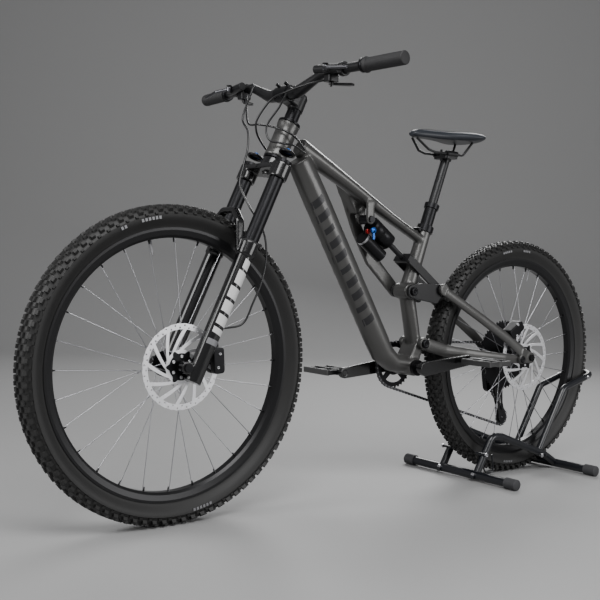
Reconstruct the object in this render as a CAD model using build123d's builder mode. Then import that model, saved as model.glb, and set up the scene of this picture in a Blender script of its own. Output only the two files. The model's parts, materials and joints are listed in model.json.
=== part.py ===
"""Full-suspension mountain bicycle standing with its rear wheel in a tubular floor stand.

+X is forward, +Y is the rider's left, +Z is up. The floor is z = 0, the bicycle's middle plane is
y = 0 and x = 0 is half way between the front tyre and the back of the stand. Millimetres.
"""
import os
from math import acos, atan2, cos, hypot, pi, radians, sin, sqrt, tan

from build123d import *

os.makedirs("parts", exist_ok=True)

# Driving dimensions -------------------------------------------------------------------------------
wheelbase = 1195.0
head_angle = 65.0
fork_offset = 44.0          # axle ahead of the steering axis
front_tyre_r = 372.0
front_tyre_w = 64.0
tyre_h = 77.0               # outside of a tyre to the inner radius of its rim
front_rim_r = front_tyre_r - tyre_h
rear_tyre_r = 351.0
rear_tyre_w = 60.0
rear_rim_r = rear_tyre_r - tyre_h
rim_wall = 24.0             # rim height, inner radius to the tyre seat
bb_height = 336.0
chainstay = 438.0
crank_length = 170.0
crank_drop = 6.0            # degrees that the right crank points below level
pedal_axle_len = 110.0
crown_race = 569.0          # along the steering axis, from the foot of the axle's offset
head_tube_len = 107.0
cup_height = 5.0
stem_rise = 56.0            # bar centre above the top cup along the steering axis
stem_reach = 45.0
bar_half = 400.0
bar_rise = 34.0
bar_back = 24.0
bar_r = 11.0
grip_len = 132.0
grip_r = 16.0
leg_y = 67.0                # fork legs from the middle plane
leg_f = 14.0                # fork legs ahead of the steering axis
stanchion_r = 18.0
steerer_r = 14.3
front_hub_half = 55.0
rear_hub_half = 74.0
rotor_r = 100.0
rotor_t = 1.8
front_rotor_y = 45.0
rear_rotor_y = 56.0
rear_axle_r = 6.0
front_axle_r = 7.5
chain_y = -52.0
chain_h = 8.0
tube_foot_r = 12.5          # stand tubes
tube_arch_r = 11.0
loop_r = 10.0
cap_r = 16.0
stand_front_x = 212.0
stand_rear_x = -150.0
stand_half_y = 208.0
arch_y = 67.0
arch_top_x = 128.0
arch_top_z = 124.0
loop_half_y = 45.5
loop_bend_x = -208.0
loop_bend_z = 243.0
loop_back = 369.0           # rear face of the stand's loop behind the rear axle
loop_back_z = 284.0
run = 0.05                  # running clearance on pins and shafts, radial
gap = 0.5                   # clearance between parts that move past each other
saddle_x, saddle_z = 327.0, 985.0

# Linkage pivots, ahead of the rear axle and above the floor
main_pivot = (412.0, 402.0)
horst_pivot = (38.0, 347.0)
stay_pivot = (345.0, 552.0)
rocker_pivot = (455.0, 547.0)
shock_front = (605.0, 738.0)

# Derived places -----------------------------------------------------------------------------------
x_mid = (wheelbase + front_tyre_r - loop_back) / 2
bb_x = sqrt(chainstay**2 - (bb_height - rear_tyre_r) ** 2)
ua, na = radians(head_angle), radians(90 - head_angle)
axle_f = (wheelbase, front_tyre_r)
foot = (wheelbase - fork_offset * cos(na), front_tyre_r - fork_offset * sin(na))
head_bottom = crown_race + cup_height
head_top = head_bottom + head_tube_len - 2 * cup_height
cup_top = crown_race + head_tube_len
bar_a = cup_top + stem_rise


def at(x, z, y=0.0):
    """A point of the side view, ahead of the rear axle and above the floor, at height y off it."""
    return Vector(x - x_mid, y, z)


def on_fork(a, f, y=0.0):
    """A point a along the steering axis and f ahead of it."""
    return at(foot[0] - a * cos(ua) + f * cos(na), foot[1] + a * sin(ua) + f * sin(na), y)


steer_dir = Vector(-cos(ua), 0, sin(ua))
front_dir = Vector(cos(na), 0, sin(na))
side_dir = Vector(0, 1, 0)


def disc(centre, direction, length, radius, hole=0.0, mode=Mode.ADD):
    """A round bar or ring from centre along direction, in the open part."""
    with BuildSketch(Plane(origin=centre, z_dir=direction)) as end:
        Circle(radius)
        if hole:
            Circle(hole, mode=Mode.SUBTRACT)
    extrude(end.sketch, amount=length, mode=mode)


def across(x, z, y0, y1, radius, hole=0.0, mode=Mode.ADD):
    """A round bar or ring square to the middle plane, from y0 to y1."""
    disc(at(x, z, y0), side_dir, y1 - y0, radius, hole, mode)


def pipe(points, bend, radius, hole=0.0):
    """A round tube along straight runs and arcs."""
    with BuildLine() as path:
        if len(points) > 2:
            FilletPolyline(*points, radius=bend)
        else:
            Line(*points)
    with BuildSketch(Plane(origin=path.line @ 0, z_dir=path.line % 0)) as end:
        Circle(radius)
        if hole:
            Circle(hole, mode=Mode.SUBTRACT)
    sweep(end.sketch, path=path.line)


def oval_tube(sections):
    """A tapered tube through ovals: (point, direction, half width across y, half depth)."""
    ovals = []
    for point, direction, half_w, half_d in sections:
        with BuildSketch(Plane(origin=point, x_dir=side_dir, z_dir=direction)) as oval:
            Ellipse(half_w, half_d)
        ovals.append(oval.sketch)
    loft(ovals, ruled=True)


def write(part, name):
    part.label = name
    export_step(part, f"parts/{name}.step")


# Stand --------------------------------------------------------------------------------------------
foot_z = cap_r
with BuildPart() as stand_foot_bars:
    for foot_x in (stand_front_x, stand_rear_x):
        across(foot_x, foot_z, -stand_half_y, stand_half_y, tube_foot_r, tube_foot_r - 1.5)

with BuildPart() as stand_foot_caps:
    for foot_x in (stand_front_x, stand_rear_x):
        for side in (1, -1):
            end = at(foot_x, foot_z, side * stand_half_y)
            disc(end, (0, side, 0), 12, cap_r)
            disc(end, (0, -side, 0), 28, cap_r, tube_foot_r)
    fillet(stand_foot_caps.faces().filter_by(Axis.Y).edges().filter_by(GeomType.CIRCLE)
           .filter_by(lambda e: e.radius > cap_r - 1), 3)

arch_route = [(stand_front_x, foot_z), (arch_top_x + 20, arch_top_z), (arch_top_x - 20, arch_top_z - 4),
              (stand_rear_x + 55, foot_z + 32), (stand_rear_x, foot_z)]
with BuildPart() as stand_side_arches:
    for side in (1, -1):
        pipe([at(x, z, side * arch_y) for x, z in arch_route], 24, tube_arch_r)
    add(stand_foot_bars.part, mode=Mode.SUBTRACT)
    for foot_x in (stand_front_x, stand_rear_x):
        across(foot_x, foot_z, -stand_half_y, stand_half_y, tube_foot_r, mode=Mode.SUBTRACT)

loop_foot_x = stand_rear_x + 62
loop_route = [(loop_foot_x, foot_z + 26), (loop_bend_x, loop_bend_z), (loop_r - loop_back, loop_back_z)]
with BuildPart() as stand_wheel_loop:
    side_points = [at(x, z, loop_half_y) for x, z in loop_route]
    far_points = [at(x, z, -loop_half_y) for x, z in loop_route]
    pipe(side_points + far_points[::-1], 34, loop_r)

with BuildPart() as stand_fittings:
    for side in (1, -1):
        inner = side * (loop_half_y + loop_r)
        across(loop_foot_x + 2, foot_z + 32, inner, side * (arch_y + tube_arch_r + 6), 4)
        across(stand_front_x - 21, foot_z + 60, side * 50, side * (arch_y + tube_arch_r + 5), 4)
        disc(at(stand_front_x + tube_foot_r, foot_z - 4, side * arch_y), (1, 0, 0), 5, 6.5)
    wire_x = stand_front_x - 24
    pipe([at(wire_x, 74, 52), at(wire_x - 42, 10, 46), at(wire_x - 76, 10, 46), at(wire_x - 60, 66, 52)],
         12, 2.5)
    pipe([at(wire_x, 84, -54), at(wire_x + 14, 128, -50), at(wire_x - 16, 132, -50), at(wire_x - 24, 92, -54)],
         10, 2.5)
    add(stand_side_arches.part, mode=Mode.SUBTRACT)

# Frame --------------------------------------------------------------------------------------------
head_r, head_bore = 27.0, 21.0
with BuildPart() as head_tube:
    disc(on_fork(head_bottom, 0), steer_dir, head_top - head_bottom, head_r)
    for a, direction in ((head_bottom, steer_dir), (head_top, -steer_dir)):
        with BuildSketch(Plane(origin=on_fork(a, 0), z_dir=direction)):
            Circle(head_r + 2.5)
        extrude(amount=14, taper=8)
    disc(on_fork(head_bottom, 0), steer_dir, head_top - head_bottom, head_bore, mode=Mode.SUBTRACT)

bb_r = 24.0
pivot_half = 29.0
with BuildPart() as bottom_bracket_shell:
    across(bb_x, bb_height, -36.5, 36.5, bb_r)
    across(*main_pivot, -pivot_half, pivot_half, 17)
    with BuildSketch(Plane(origin=at(bb_x, bb_height, pivot_half), x_dir=(1, 0, 0), z_dir=-side_dir)):
        with BuildLine():
            Polyline((0, 20), (-18, 10), (main_pivot[0] - bb_x - 16, main_pivot[1] - bb_height),
                     (main_pivot[0] - bb_x, main_pivot[1] - bb_height + 16), (-4, 62), (18, 22), (0, 20))
        make_face()
    extrude(amount=2 * pivot_half)
    across(bb_x, bb_height, -36.5, 36.5, 20.5, mode=Mode.SUBTRACT)
    across(*main_pivot, -pivot_half, pivot_half, 8 + run, mode=Mode.SUBTRACT)

seat_top = (383.0, 722.0)
seat_dir = Vector(seat_top[0] - 450, 0, seat_top[1] - 540).normalized()
seat_r = 19.0
post_r = 17.0
with BuildPart() as seat_tube:
    oval_tube([(at(*seat_top), seat_dir, seat_r, seat_r), (at(450, 540), seat_dir, 22, 23)])
    across(*rocker_pivot, -27, 27, 22)
    oval_tube([(at(450, 556), Vector(28, 0, 150), 22, 22), (at(424, 440), Vector(20, 0, 150), 25, 19),
               (at(414, 380), Vector(20, 0, 150), 26, 18)])
    add(bottom_bracket_shell.part, mode=Mode.SUBTRACT)
    across(bb_x, bb_height, -36.5, 36.5, bb_r, mode=Mode.SUBTRACT)
    across(*main_pivot, -60, 60, 17, mode=Mode.SUBTRACT)
    across(*rocker_pivot, -27, 27, 7 + run, mode=Mode.SUBTRACT)
    disc(at(*seat_top), -seat_dir, 150, post_r - 1.0 + run, mode=Mode.SUBTRACT)

dt_top = (838.0, 878.0)
dt_dir = Vector(dt_top[0] - 553, 0, dt_top[1] - 412)
with BuildPart() as down_tube:
    oval_tube([(at(*dt_top), dt_dir, 27, 33), (at(790, 800), dt_dir, 30, 35), (at(612, 508), dt_dir, 31, 34),
               (at(556, 415), dt_dir, 34, 33)])
    oval_tube([(at(556, 415), dt_dir, 34, 33), (at(533, 378), Vector(0.75, 0, 0.75), 35, 31),
               (at(500, 352), Vector(1, 0, 0.35), 36, 27), (at(444, 343), Vector(1, 0, 0.05), 36, 25)])
    for part in (bottom_bracket_shell, seat_tube):
        add(part.part, mode=Mode.SUBTRACT)
    across(bb_x, bb_height, -40, 40, bb_r, mode=Mode.SUBTRACT)
    disc(on_fork(head_bottom - 20, 0), steer_dir, 200, head_r + 0.01, mode=Mode.SUBTRACT)
    add(head_tube.part, mode=Mode.SUBTRACT)

shock_dir = Vector(shock_front[0] - stay_pivot[0], 0, shock_front[1] - stay_pivot[1]).normalized()
lug_in, lug_t, eye_bolt_r = 15.5, 7.0, 5.0
tt_front, tt_rear = (838.0, 910.0), (400.0, 690.0)
tt_dir = Vector(tt_front[0] - tt_rear[0], 0, tt_front[1] - tt_rear[1])
with BuildPart() as top_tube:
    oval_tube([(at(*tt_front), tt_dir, 24, 25), (at(690, 836), tt_dir, 23, 19),
               (at(520, 748), tt_dir, 19, 14), (at(*tt_rear), tt_dir, 17, 13)])
    for part in (head_tube, down_tube, seat_tube):
        add(part.part, mode=Mode.SUBTRACT)
    disc(on_fork(head_bottom - 20, 0), steer_dir, 200, head_r + 0.01, mode=Mode.SUBTRACT)
    disc(at(*seat_top), -seat_dir, 150, post_r + 0.5, mode=Mode.SUBTRACT)
    for side in (1, -1):
        lug = at(shock_front[0], shock_front[1], side * lug_in)
        disc(lug, (0, side, 0), lug_t, 15)
        with BuildSketch(Plane(origin=lug, x_dir=(1, 0, 0), z_dir=(0, side, 0))):
            with Locations((2, side * -24)):
                Rectangle(30, 48)
        extrude(amount=lug_t)
    across(*shock_front, -30, 30, eye_bolt_r, mode=Mode.SUBTRACT)

arm_out, arm_in = -50.0, -39.0
with BuildPart() as side_arm:
    with BuildSketch(Plane(origin=at(0, 0, arm_in), x_dir=(1, 0, 0), z_dir=(0, -1, 0))) as arm_face:
        with BuildLine():
            Polyline((664, 812), (612, 700), (560, 618), (478, 545), (456, 526), (434, 548),
                     (452, 572), (540, 655), (588, 730), (604, 790), (664, 812))
        make_face()
        fillet(arm_face.vertices(), 6)
    extrude(amount=arm_in - arm_out)
    with BuildSketch(Plane(origin=at(0, 0, -12), x_dir=(1, 0, 0), z_dir=(0, -1, 0))) as root_face:
        with BuildLine():
            Polyline((680, 840), (664, 806), (628, 752), (604, 762), (604, 806), (680, 840))
        make_face()
    extrude(amount=-12 - arm_out)
    for part in (top_tube, seat_tube, down_tube):
        add(part.part, mode=Mode.SUBTRACT)
    across(*shock_front, -36, 30, 17, mode=Mode.SUBTRACT)
    across(*rocker_pivot, -60, 60, 7, mode=Mode.SUBTRACT)

with BuildPart() as frame_hardware:
    collar = at(*seat_top) - seat_dir * 10
    disc(collar, seat_dir, 18, seat_r + 4.5, seat_r + 0.4)
    disc(collar + seat_dir * 9 + Vector(seat_r + 10, -11, 0), side_dir, 22, 5)
    disc(at(*seat_top) + seat_dir * 0.2, seat_dir, 7.5, seat_r + 4.4, post_r - 1 + run)
    across(*main_pivot, -48, 48, 8)
    for side in (1, -1):
        across(*main_pivot, side * 44.3, side * 48.3, 13)
    across(*rocker_pivot, 37.8, 41.5, 12)
    across(*rocker_pivot, -53.5, arm_out - 0.02, 12)
    across(*rocker_pivot, -53, 41, 7)
    across(*shock_front, -27, 27, eye_bolt_r)
    for side in (1, -1):
        across(*shock_front, side * 22.6, side * 27, 9)
        across(bb_x, bb_height, side * 36.6, side * 46, 22, 15 + run)
    for a, b in ((crown_race + 0.4, head_bottom), (head_top, cup_top)):
        disc(on_fork(a, 0), steer_dir, b - a, head_r + 1.5, steerer_r + run)

# Dropper post and saddle ---------------------------------------------------------------------------
inner_r = 12.7
with BuildPart() as dropper_outer:
    disc(at(*seat_top) - seat_dir * 140, seat_dir, 200, post_r - 1, inner_r + run)
    disc(at(*seat_top) + seat_dir * 9, seat_dir, 52, post_r + 0.5, inner_r + run)
    disc(at(*seat_top) + seat_dir * 61, seat_dir, 14, post_r + 4, inner_r + run)

post_top = at(*seat_top) + seat_dir * 226
rail_y, rail_r = 22.0, 3.5
with BuildPart() as dropper_inner:
    disc(at(*seat_top) + seat_dir * 20, seat_dir, 200, inner_r)
    with BuildSketch(Plane(origin=post_top + Vector(4, 0, -10), z_dir=(0, 0, 1))):
        RectangleRounded(46, 56, 8)
    extrude(amount=9)
    for side in (1, -1):
        disc(post_top + Vector(-16, side * rail_y, 3), (1, 0, 0), 40, 9)
    disc(post_top + Vector(-14, 0, -16), (0, 0, 1), 32, 3.5)
    disc(post_top + Vector(22, 0, -16), (0, 0, 1), 32, 3.5)
    for side in (1, -1):
        disc(post_top + Vector(-30, side * rail_y, 3), (1, 0, 0), 80, rail_r, mode=Mode.SUBTRACT)

saddle_low = saddle_z - 14
rail_z = post_top.Z + 3
with BuildPart() as saddle_rails:
    for side in (1, -1):
        nose, tail = at(434, saddle_low + 2, side * 9), at(236, saddle_low + 4, side * 34)
        points = [nose, at(398, rail_z + 6, side * 20), at(372, rail_z, side * rail_y),
                  at(262, rail_z, side * rail_y), tail]
        pipe(points, 12, rail_r - 0.05)

with BuildPart() as saddle:
    sections = [(446, 12, 6, 0), (425, 19, 13, 1), (370, 25, 16, 3), (310, 42, 17, 4), (262, 66, 18, 6),
                (232, 72, 17, 8), (208, 58, 12, 12)]
    faces = []
    for x, half_w, half_d, rise in sections:
        with BuildSketch(Plane(origin=at(x, saddle_z + rise * 0.5 - 1, 0), x_dir=side_dir, z_dir=(-1, 0, 0))) as cut:
            Ellipse(half_w, half_d)
        faces.append(cut.sketch)
    loft(faces)
    with BuildSketch(Plane(origin=at(327, saddle_z - 60, 0), z_dir=(0, 0, 1))) as under:
        Rectangle(300, 160)
    extrude(under.sketch, amount=60 - 9, mode=Mode.SUBTRACT)
    add(saddle_rails.part, mode=Mode.SUBTRACT)

# Fork, steering and cockpit ------------------------------------------------------------------------
boss_r, boss_low, boss_high = 24.0, 505.0, 545.0
with BuildPart() as fork_crown:
    disc(on_fork(boss_high - 20, 0), steer_dir, bar_a + 20 - boss_high + 20, steerer_r)
    with BuildSketch(Plane(origin=on_fork(boss_high - 12, 0), x_dir=side_dir, z_dir=steer_dir)) as race:
        Circle(31)
    extrude(race.sketch, amount=crown_race - boss_high + 12, taper=8)
    with BuildSketch(Plane(origin=on_fork(531, 0), x_dir=side_dir, z_dir=steer_dir)) as web:
        with Locations((0, 0)):
            Circle(27)
        with Locations(*[(side * leg_y, -leg_f) for side in (1, -1)]):
            Circle(19)
        make_hull()
    extrude(web.sketch, amount=boss_high - 531 - 1)
    for side in (1, -1):
        disc(on_fork(boss_low, leg_f, side * leg_y), steer_dir, boss_high - boss_low, boss_r)
        disc(on_fork(boss_low, leg_f, side * leg_y), steer_dir, boss_high - boss_low, stanchion_r, mode=Mode.SUBTRACT)

travel = 150.0
seal_a = 333.0
with BuildPart() as stanchions:
    for side in (1, -1):
        disc(on_fork(seal_a - 125, leg_f, side * leg_y), steer_dir, boss_high - seal_a + 125 + 1, stanchion_r,
             stanchion_r - 2)
        disc(on_fork(boss_high + 1, leg_f, side * leg_y), steer_dir, 7, stanchion_r + 3)
    for side in (1, -1):
        disc(on_fork(boss_high + 8, leg_f, side * leg_y), steer_dir, 5, 9)

lower_r = 20.5
with BuildPart() as fork_lowers:
    for side in (1, -1):
        disc(on_fork(-24, leg_f, side * leg_y), steer_dir, seal_a + 24 - 30, lower_r)
        disc(on_fork(seal_a - 34, leg_f, side * leg_y), steer_dir, 34, lower_r + 2.5)
        with BuildSketch(Plane(origin=at(*axle_f, side * (front_hub_half + gap)), z_dir=(0, side, 0))) as drop:
            with Locations((0, 0)):
                Circle(15)
        extrude(drop.sketch, amount=23)
        dropout = on_fork(0, (fork_offset + leg_f) / 2, side * (front_hub_half + gap + 11.5))
        with BuildSketch(Plane(origin=dropout, x_dir=side_dir, z_dir=front_dir)) as web:
            Rectangle(22, 26)
        extrude(web.sketch, amount=14, both=True)
    with BuildLine() as arch_line:
        FilletPolyline(on_fork(300, 26, 62), on_fork(372, 54, 50), on_fork(398, 60, 22), on_fork(398, 60, -22),
                       on_fork(372, 54, -50), on_fork(300, 26, -62), radius=16)
    with BuildSketch(Plane(origin=arch_line.line @ 0, x_dir=front_dir, z_dir=arch_line.line % 0)) as band:
        RectangleRounded(22, 12, 4)
    sweep(band.sketch, path=arch_line.line)
    for side in (1, -1):
        disc(on_fork(seal_a - 130 - travel, leg_f, side * leg_y), steer_dir, travel + 140, stanchion_r + run,
             mode=Mode.SUBTRACT)
    across(*axle_f, -90, 90, front_axle_r, mode=Mode.SUBTRACT)

with BuildPart() as front_axle:
    across(*axle_f, -84, 79, front_axle_r)
    across(*axle_f, 78.6, 82, 10)
    across(*axle_f, -86, -78.6, 10)

spacer_r = 18.0
stem_low = bar_a - 21
with BuildPart() as stem:
    disc(on_fork(stem_low, 0), steer_dir, 42, 20)
    disc(on_fork(bar_a, stem_reach, -25), side_dir, 50, 20)
    with BuildSketch(Plane(origin=on_fork(bar_a, 8), x_dir=side_dir, z_dir=front_dir)) as neck:
        RectangleRounded(40, 32, 6)
    extrude(neck.sketch, amount=stem_reach - 14)
    disc(on_fork(stem_low, 0), steer_dir, 60, steerer_r, mode=Mode.SUBTRACT)
    disc(on_fork(bar_a, stem_reach, -30), side_dir, 60, 16.0, mode=Mode.SUBTRACT)
    with BuildSketch(Plane(origin=on_fork(bar_a, stem_reach + 1), x_dir=side_dir, z_dir=front_dir)) as open_face:
        Rectangle(60, 60)
    extrude(open_face.sketch, amount=40, mode=Mode.SUBTRACT)

with BuildPart() as stem_hardware:
    disc(on_fork(bar_a, stem_reach, -25), side_dir, 50, 20, 16.0)
    with BuildSketch(Plane(origin=on_fork(bar_a, stem_reach + 2), x_dir=side_dir, z_dir=-front_dir)) as back_half:
        Rectangle(60, 60)
    extrude(back_half.sketch, amount=40, mode=Mode.SUBTRACT)
    for side in (1, -1):
        for rise in (1, -1):
            disc(on_fork(bar_a + rise * 17, stem_reach + 12, side * 17), front_dir, 10, 4)
    disc(on_fork(cup_top + 0.4, 0), steer_dir, stem_low - cup_top - 0.4, spacer_r, steerer_r)
    disc(on_fork(stem_low + 42, 0), steer_dir, 3, 17, steerer_r)

with BuildPart() as handlebar:
    centre = on_fork(bar_a, stem_reach)
    mid = centre + Vector(-bar_back * 0.2, 0, bar_rise)
    end = Vector(centre.X - bar_back, 0, centre.Z + bar_rise)
    for side in (1, -1):
        rising = centre + Vector(0, side * 60, 0)
        risen = mid + Vector(0, side * 150, 0)
        last = end + Vector(0, side * bar_half, 0)
        pipe([centre, rising, risen, last], 130, bar_r, bar_r - 2)
    disc(centre - Vector(0, 38, 0), side_dir, 76, 15.9)

bar_out = (last - risen).normalized()


def on_bar(from_end, side=1):
    """A point on the bar's outer run, measured in from its end, and the run's outward direction."""
    point = last - bar_out * from_end
    return Vector(point.X, side * abs(point.Y), point.Z), Vector(bar_out.X, side * abs(bar_out.Y), bar_out.Z)


with BuildPart() as grips:
    for side in (1, -1):
        end, out = on_bar(0, side)
        disc(end + out * 2, -out, grip_len, grip_r, bar_r)
        disc(end + out * 2, out, 4, grip_r + 1)
        disc(end - out * (grip_len - 8), -out, 10, grip_r + 1.5, bar_r)

clamp_in = 162.0
master_dir = Vector(0.55, 0, -0.12).normalized()
with BuildPart() as brake_masters:
    for side in (1, -1):
        place, out = on_bar(clamp_in + 24, side)
        disc(place - out * 6, out, 12, bar_r + 6, bar_r)
        pipe([place + Vector(26, side * 14, -4), place + Vector(34, side * -62, 2)], 0, 10.5)
        with BuildSketch(Plane(origin=place + Vector(20, 0, -3), x_dir=(1, 0, 0), z_dir=(0, 0, 1))) as arm:
            Rectangle(20, 12)
        extrude(arm.sketch, amount=5, both=True)
        lever_pin = place + Vector(44, side * -14, 0)
        for rise in (6.5, -11.5):
            disc(lever_pin + Vector(0, 0, rise), (0, 0, 1), 3, 7)
        disc(lever_pin + Vector(0, 0, -11), (0, 0, 1), 20, 2.5)
    for side in (1, -1):
        place, out = on_bar(clamp_in + 24, side)
        disc(place - out * 60, out, 120, bar_r, mode=Mode.SUBTRACT)
        disc(place + Vector(44, side * -14, -8), (0, 0, 1), 12, 9, 2.5, mode=Mode.SUBTRACT)

lever_span = {}
for name, side in (("left", 1), ("right", -1)):
    place, out = on_bar(clamp_in + 24, side)
    lever_span[name] = (place + Vector(44, side * -14, -2), place + Vector(56, side * 78, -14))

with BuildPart() as left_brake_lever:
    pivot, tip = lever_span["left"]
    disc(pivot - Vector(0, 0, 6), (0, 0, 1), 12, 7, 2.5 + run)
    pipe([pivot + Vector(4, 4, 0), pivot + Vector(22, 30, -6), tip], 10, 4)
    disc(pivot - Vector(0, 0, 8), (0, 0, 1), 16, 2.5 + run, mode=Mode.SUBTRACT)

with BuildPart() as right_brake_lever:
    pivot, tip = lever_span["right"]
    disc(pivot - Vector(0, 0, 6), (0, 0, 1), 12, 7, 2.5 + run)
    pipe([pivot + Vector(4, -4, 0), pivot + Vector(22, -30, -6), tip], 10, 4)
    disc(pivot - Vector(0, 0, 8), (0, 0, 1), 16, 2.5 + run, mode=Mode.SUBTRACT)

shift_pin, shift_out = on_bar(clamp_in + 58, -1)
drop_pin, drop_out = on_bar(clamp_in + 58, 1)
with BuildPart() as control_bodies:
    for place, out, side in ((shift_pin, shift_out, -1), (drop_pin, drop_out, 1)):
        disc(place - out * 5, out, 10, bar_r + 4, bar_r)
        with BuildSketch(Plane(origin=place + Vector(6, 0, -9), x_dir=(1, 0, 0), z_dir=(0, 0, -1))) as pod:
            RectangleRounded(30, 26, 6)
        extrude(pod.sketch, amount=18)
        disc(place + Vector(6, 0, -38), (0, 0, 1), 12, 2.5)
    for side in (1, -1):
        place, out = on_bar(clamp_in + 58, side)
        disc(place - out * 60, out, 120, bar_r, mode=Mode.SUBTRACT)

with BuildPart() as shift_paddle:
    disc(shift_pin + Vector(6, 0, -34), (0, 0, 1), 6, 6, 2.5 + run)
    with BuildSketch(Plane(origin=shift_pin + Vector(6, 0, -34), z_dir=(0, 0, 1))) as paddle:
        with BuildLine():
            Polyline((-4, -6), (-34, -34), (-46, -30), (-42, -18), (-5, 4), (-4, -6))
        make_face()
    extrude(paddle.sketch, amount=5)
    disc(shift_pin + Vector(6, 0, -35), (0, 0, 1), 8, 2.5 + run, mode=Mode.SUBTRACT)

with BuildPart() as dropper_paddle:
    disc(drop_pin + Vector(6, 0, -34), (0, 0, 1), 6, 6, 2.5 + run)
    with BuildSketch(Plane(origin=drop_pin + Vector(6, 0, -34), z_dir=(0, 0, 1))) as paddle:
        with BuildLine():
            Polyline((-4, 6), (-34, 34), (-46, 30), (-42, 18), (-5, -4), (-4, 6))
        make_face()
    extrude(paddle.sketch, amount=5)
    disc(drop_pin + Vector(6, 0, -35), (0, 0, 1), 8, 2.5 + run, mode=Mode.SUBTRACT)


# Wheels --------------------------------------------------------------------------------------------
def tyre(x, z, radius, width, rim_r):
    """A tyre carcass with its tread's height, seated on the rim."""
    seat = rim_r + rim_wall
    plane = Plane(origin=at(x, z), x_dir=(1, 0, 0), z_dir=(0, 0, 1))
    with BuildSketch(plane) as section:
        with BuildLine():
            Polyline((seat - 3, 16.2), (seat + 5, 17), (seat + 22, width / 2 - 3), (radius - 20, width / 2),
                     (radius - 7, width / 2 - 5), (radius, width / 4), (radius, -width / 4),
                     (radius - 7, 5 - width / 2), (radius - 20, -width / 2), (seat + 22, 3 - width / 2),
                     (seat + 5, -17), (seat - 3, -16.2), (seat - 3, -14.6), (radius - 14, -width / 4),
                     (radius - 14, width / 4), (seat - 3, 14.6), close=True)
        make_face()
    revolve(section.sketch, axis=Axis(at(x, z), (0, 1, 0)))


def rim(x, z, rim_r):
    """A box-section rim with its two tyre hooks."""
    plane = Plane(origin=at(x, z), x_dir=(1, 0, 0), z_dir=(0, 0, 1))
    seat = rim_r + rim_wall
    with BuildSketch(plane) as section:
        with BuildLine():
            Polyline((rim_r, 9), (rim_r + 6, 14), (seat - 6, 18), (seat, 18), (seat, 17.1), (seat - 3, 16.3),
                     (seat - 3.1, 14), (seat - 8, 12), (seat - 8, -12), (seat - 3.1, -14), (seat - 3, -16.3),
                     (seat, -17.1), (seat, -18), (seat - 6, -18), (rim_r + 6, -14), (rim_r, -9), close=True)
        make_face()
    revolve(section.sketch, axis=Axis(at(x, z), (0, 1, 0)))


def spokes(x, z, rim_r, flange_r, flange_ys, count=28):
    """Tangential spokes from the two hub flanges to the rim, crossing in pairs."""
    step = 2 * pi / count
    for i in range(count):
        side = 1 if i % 2 else -1
        lean = 0.62 if (i // 2) % 2 else -0.62
        outer, inner = i * step, i * step + lean
        head = at(x + flange_r * cos(inner), z + flange_r * sin(inner), flange_ys[side > 0])
        nipple = at(x + (rim_r + 1.5) * cos(outer), z + (rim_r + 1.5) * sin(outer), side * 3)
        disc(head, nipple - head, (nipple - head).length, 1.0)


def rotor(x, z, y, spider_r=32.0):
    """A brake disc: a drilled band on swept arms round a carrier."""
    plane = Plane(origin=at(x, z, y - rotor_t / 2), x_dir=(1, 0, 0), z_dir=(0, 1, 0))
    with BuildSketch(plane) as face:
        Circle(rotor_r)
        Circle(rotor_r - 16, mode=Mode.SUBTRACT)
        for i in range(12):
            turn = radians(30 * i)
            sweep_back = turn + 0.45
            with BuildLine(mode=Mode.PRIVATE) as arm:
                Line((28 * cos(turn), 28 * sin(turn)),
                     ((rotor_r - 12) * cos(sweep_back), (rotor_r - 12) * sin(sweep_back)))
            trace(arm.line, line_width=5)
        Circle(spider_r)
        Circle(17.5, mode=Mode.SUBTRACT)
    extrude(face.sketch, amount=rotor_t)


with BuildPart() as front_tyre:
    tyre(*axle_f, front_tyre_r, front_tyre_w, front_rim_r)
with BuildPart() as front_rim:
    rim(*axle_f, front_rim_r)
with BuildPart() as front_spokes:
    spokes(*axle_f, front_rim_r, 27.5, (-34.0, 26.0))
with BuildPart() as front_rotor:
    rotor(*axle_f, front_rotor_y)
with BuildPart() as front_hub:
    half = front_hub_half - 0.1
    across(*axle_f, -half, half, 11)
    across(*axle_f, -37, 29, 16)
    across(*axle_f, -36, -32, 30)
    across(*axle_f, 24, 28, 30)
    across(*axle_f, 38, front_rotor_y + 2, 17.4)
    across(*axle_f, -half, half, front_axle_r + run, mode=Mode.SUBTRACT)

rear_axle_at = (0.0, rear_tyre_r)
with BuildPart() as rear_tyre:
    tyre(*rear_axle_at, rear_tyre_r, rear_tyre_w, rear_rim_r)
with BuildPart() as rear_rim:
    rim(*rear_axle_at, rear_rim_r)
with BuildPart() as rear_spokes:
    spokes(*rear_axle_at, rear_rim_r, 27.5, (-19.0, 36.0))
with BuildPart() as rear_rotor:
    rotor(*rear_axle_at, rear_rotor_y)
hub_mid = -26.0
with BuildPart() as rear_hub:
    across(*rear_axle_at, hub_mid, rear_hub_half - 0.1, 13)
    across(*rear_axle_at, hub_mid, 39, 17)
    across(*rear_axle_at, -21, -17, 30)
    across(*rear_axle_at, 34, 38, 30)
    across(*rear_axle_at, 48, rear_rotor_y + 2, 17.4)
    across(*rear_axle_at, hub_mid, rear_hub_half, rear_axle_r + run, mode=Mode.SUBTRACT)

cog_teeth = (10, 12, 14, 16, 18, 21, 24, 28, 32, 38, 44, 52)
cog_pitch, cog_t, small_cog_y = 3.3, 1.8, -66.0
chain_cog = 4


def pitch_radius(teeth):
    return 6.35 / sin(pi / teeth)


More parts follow.
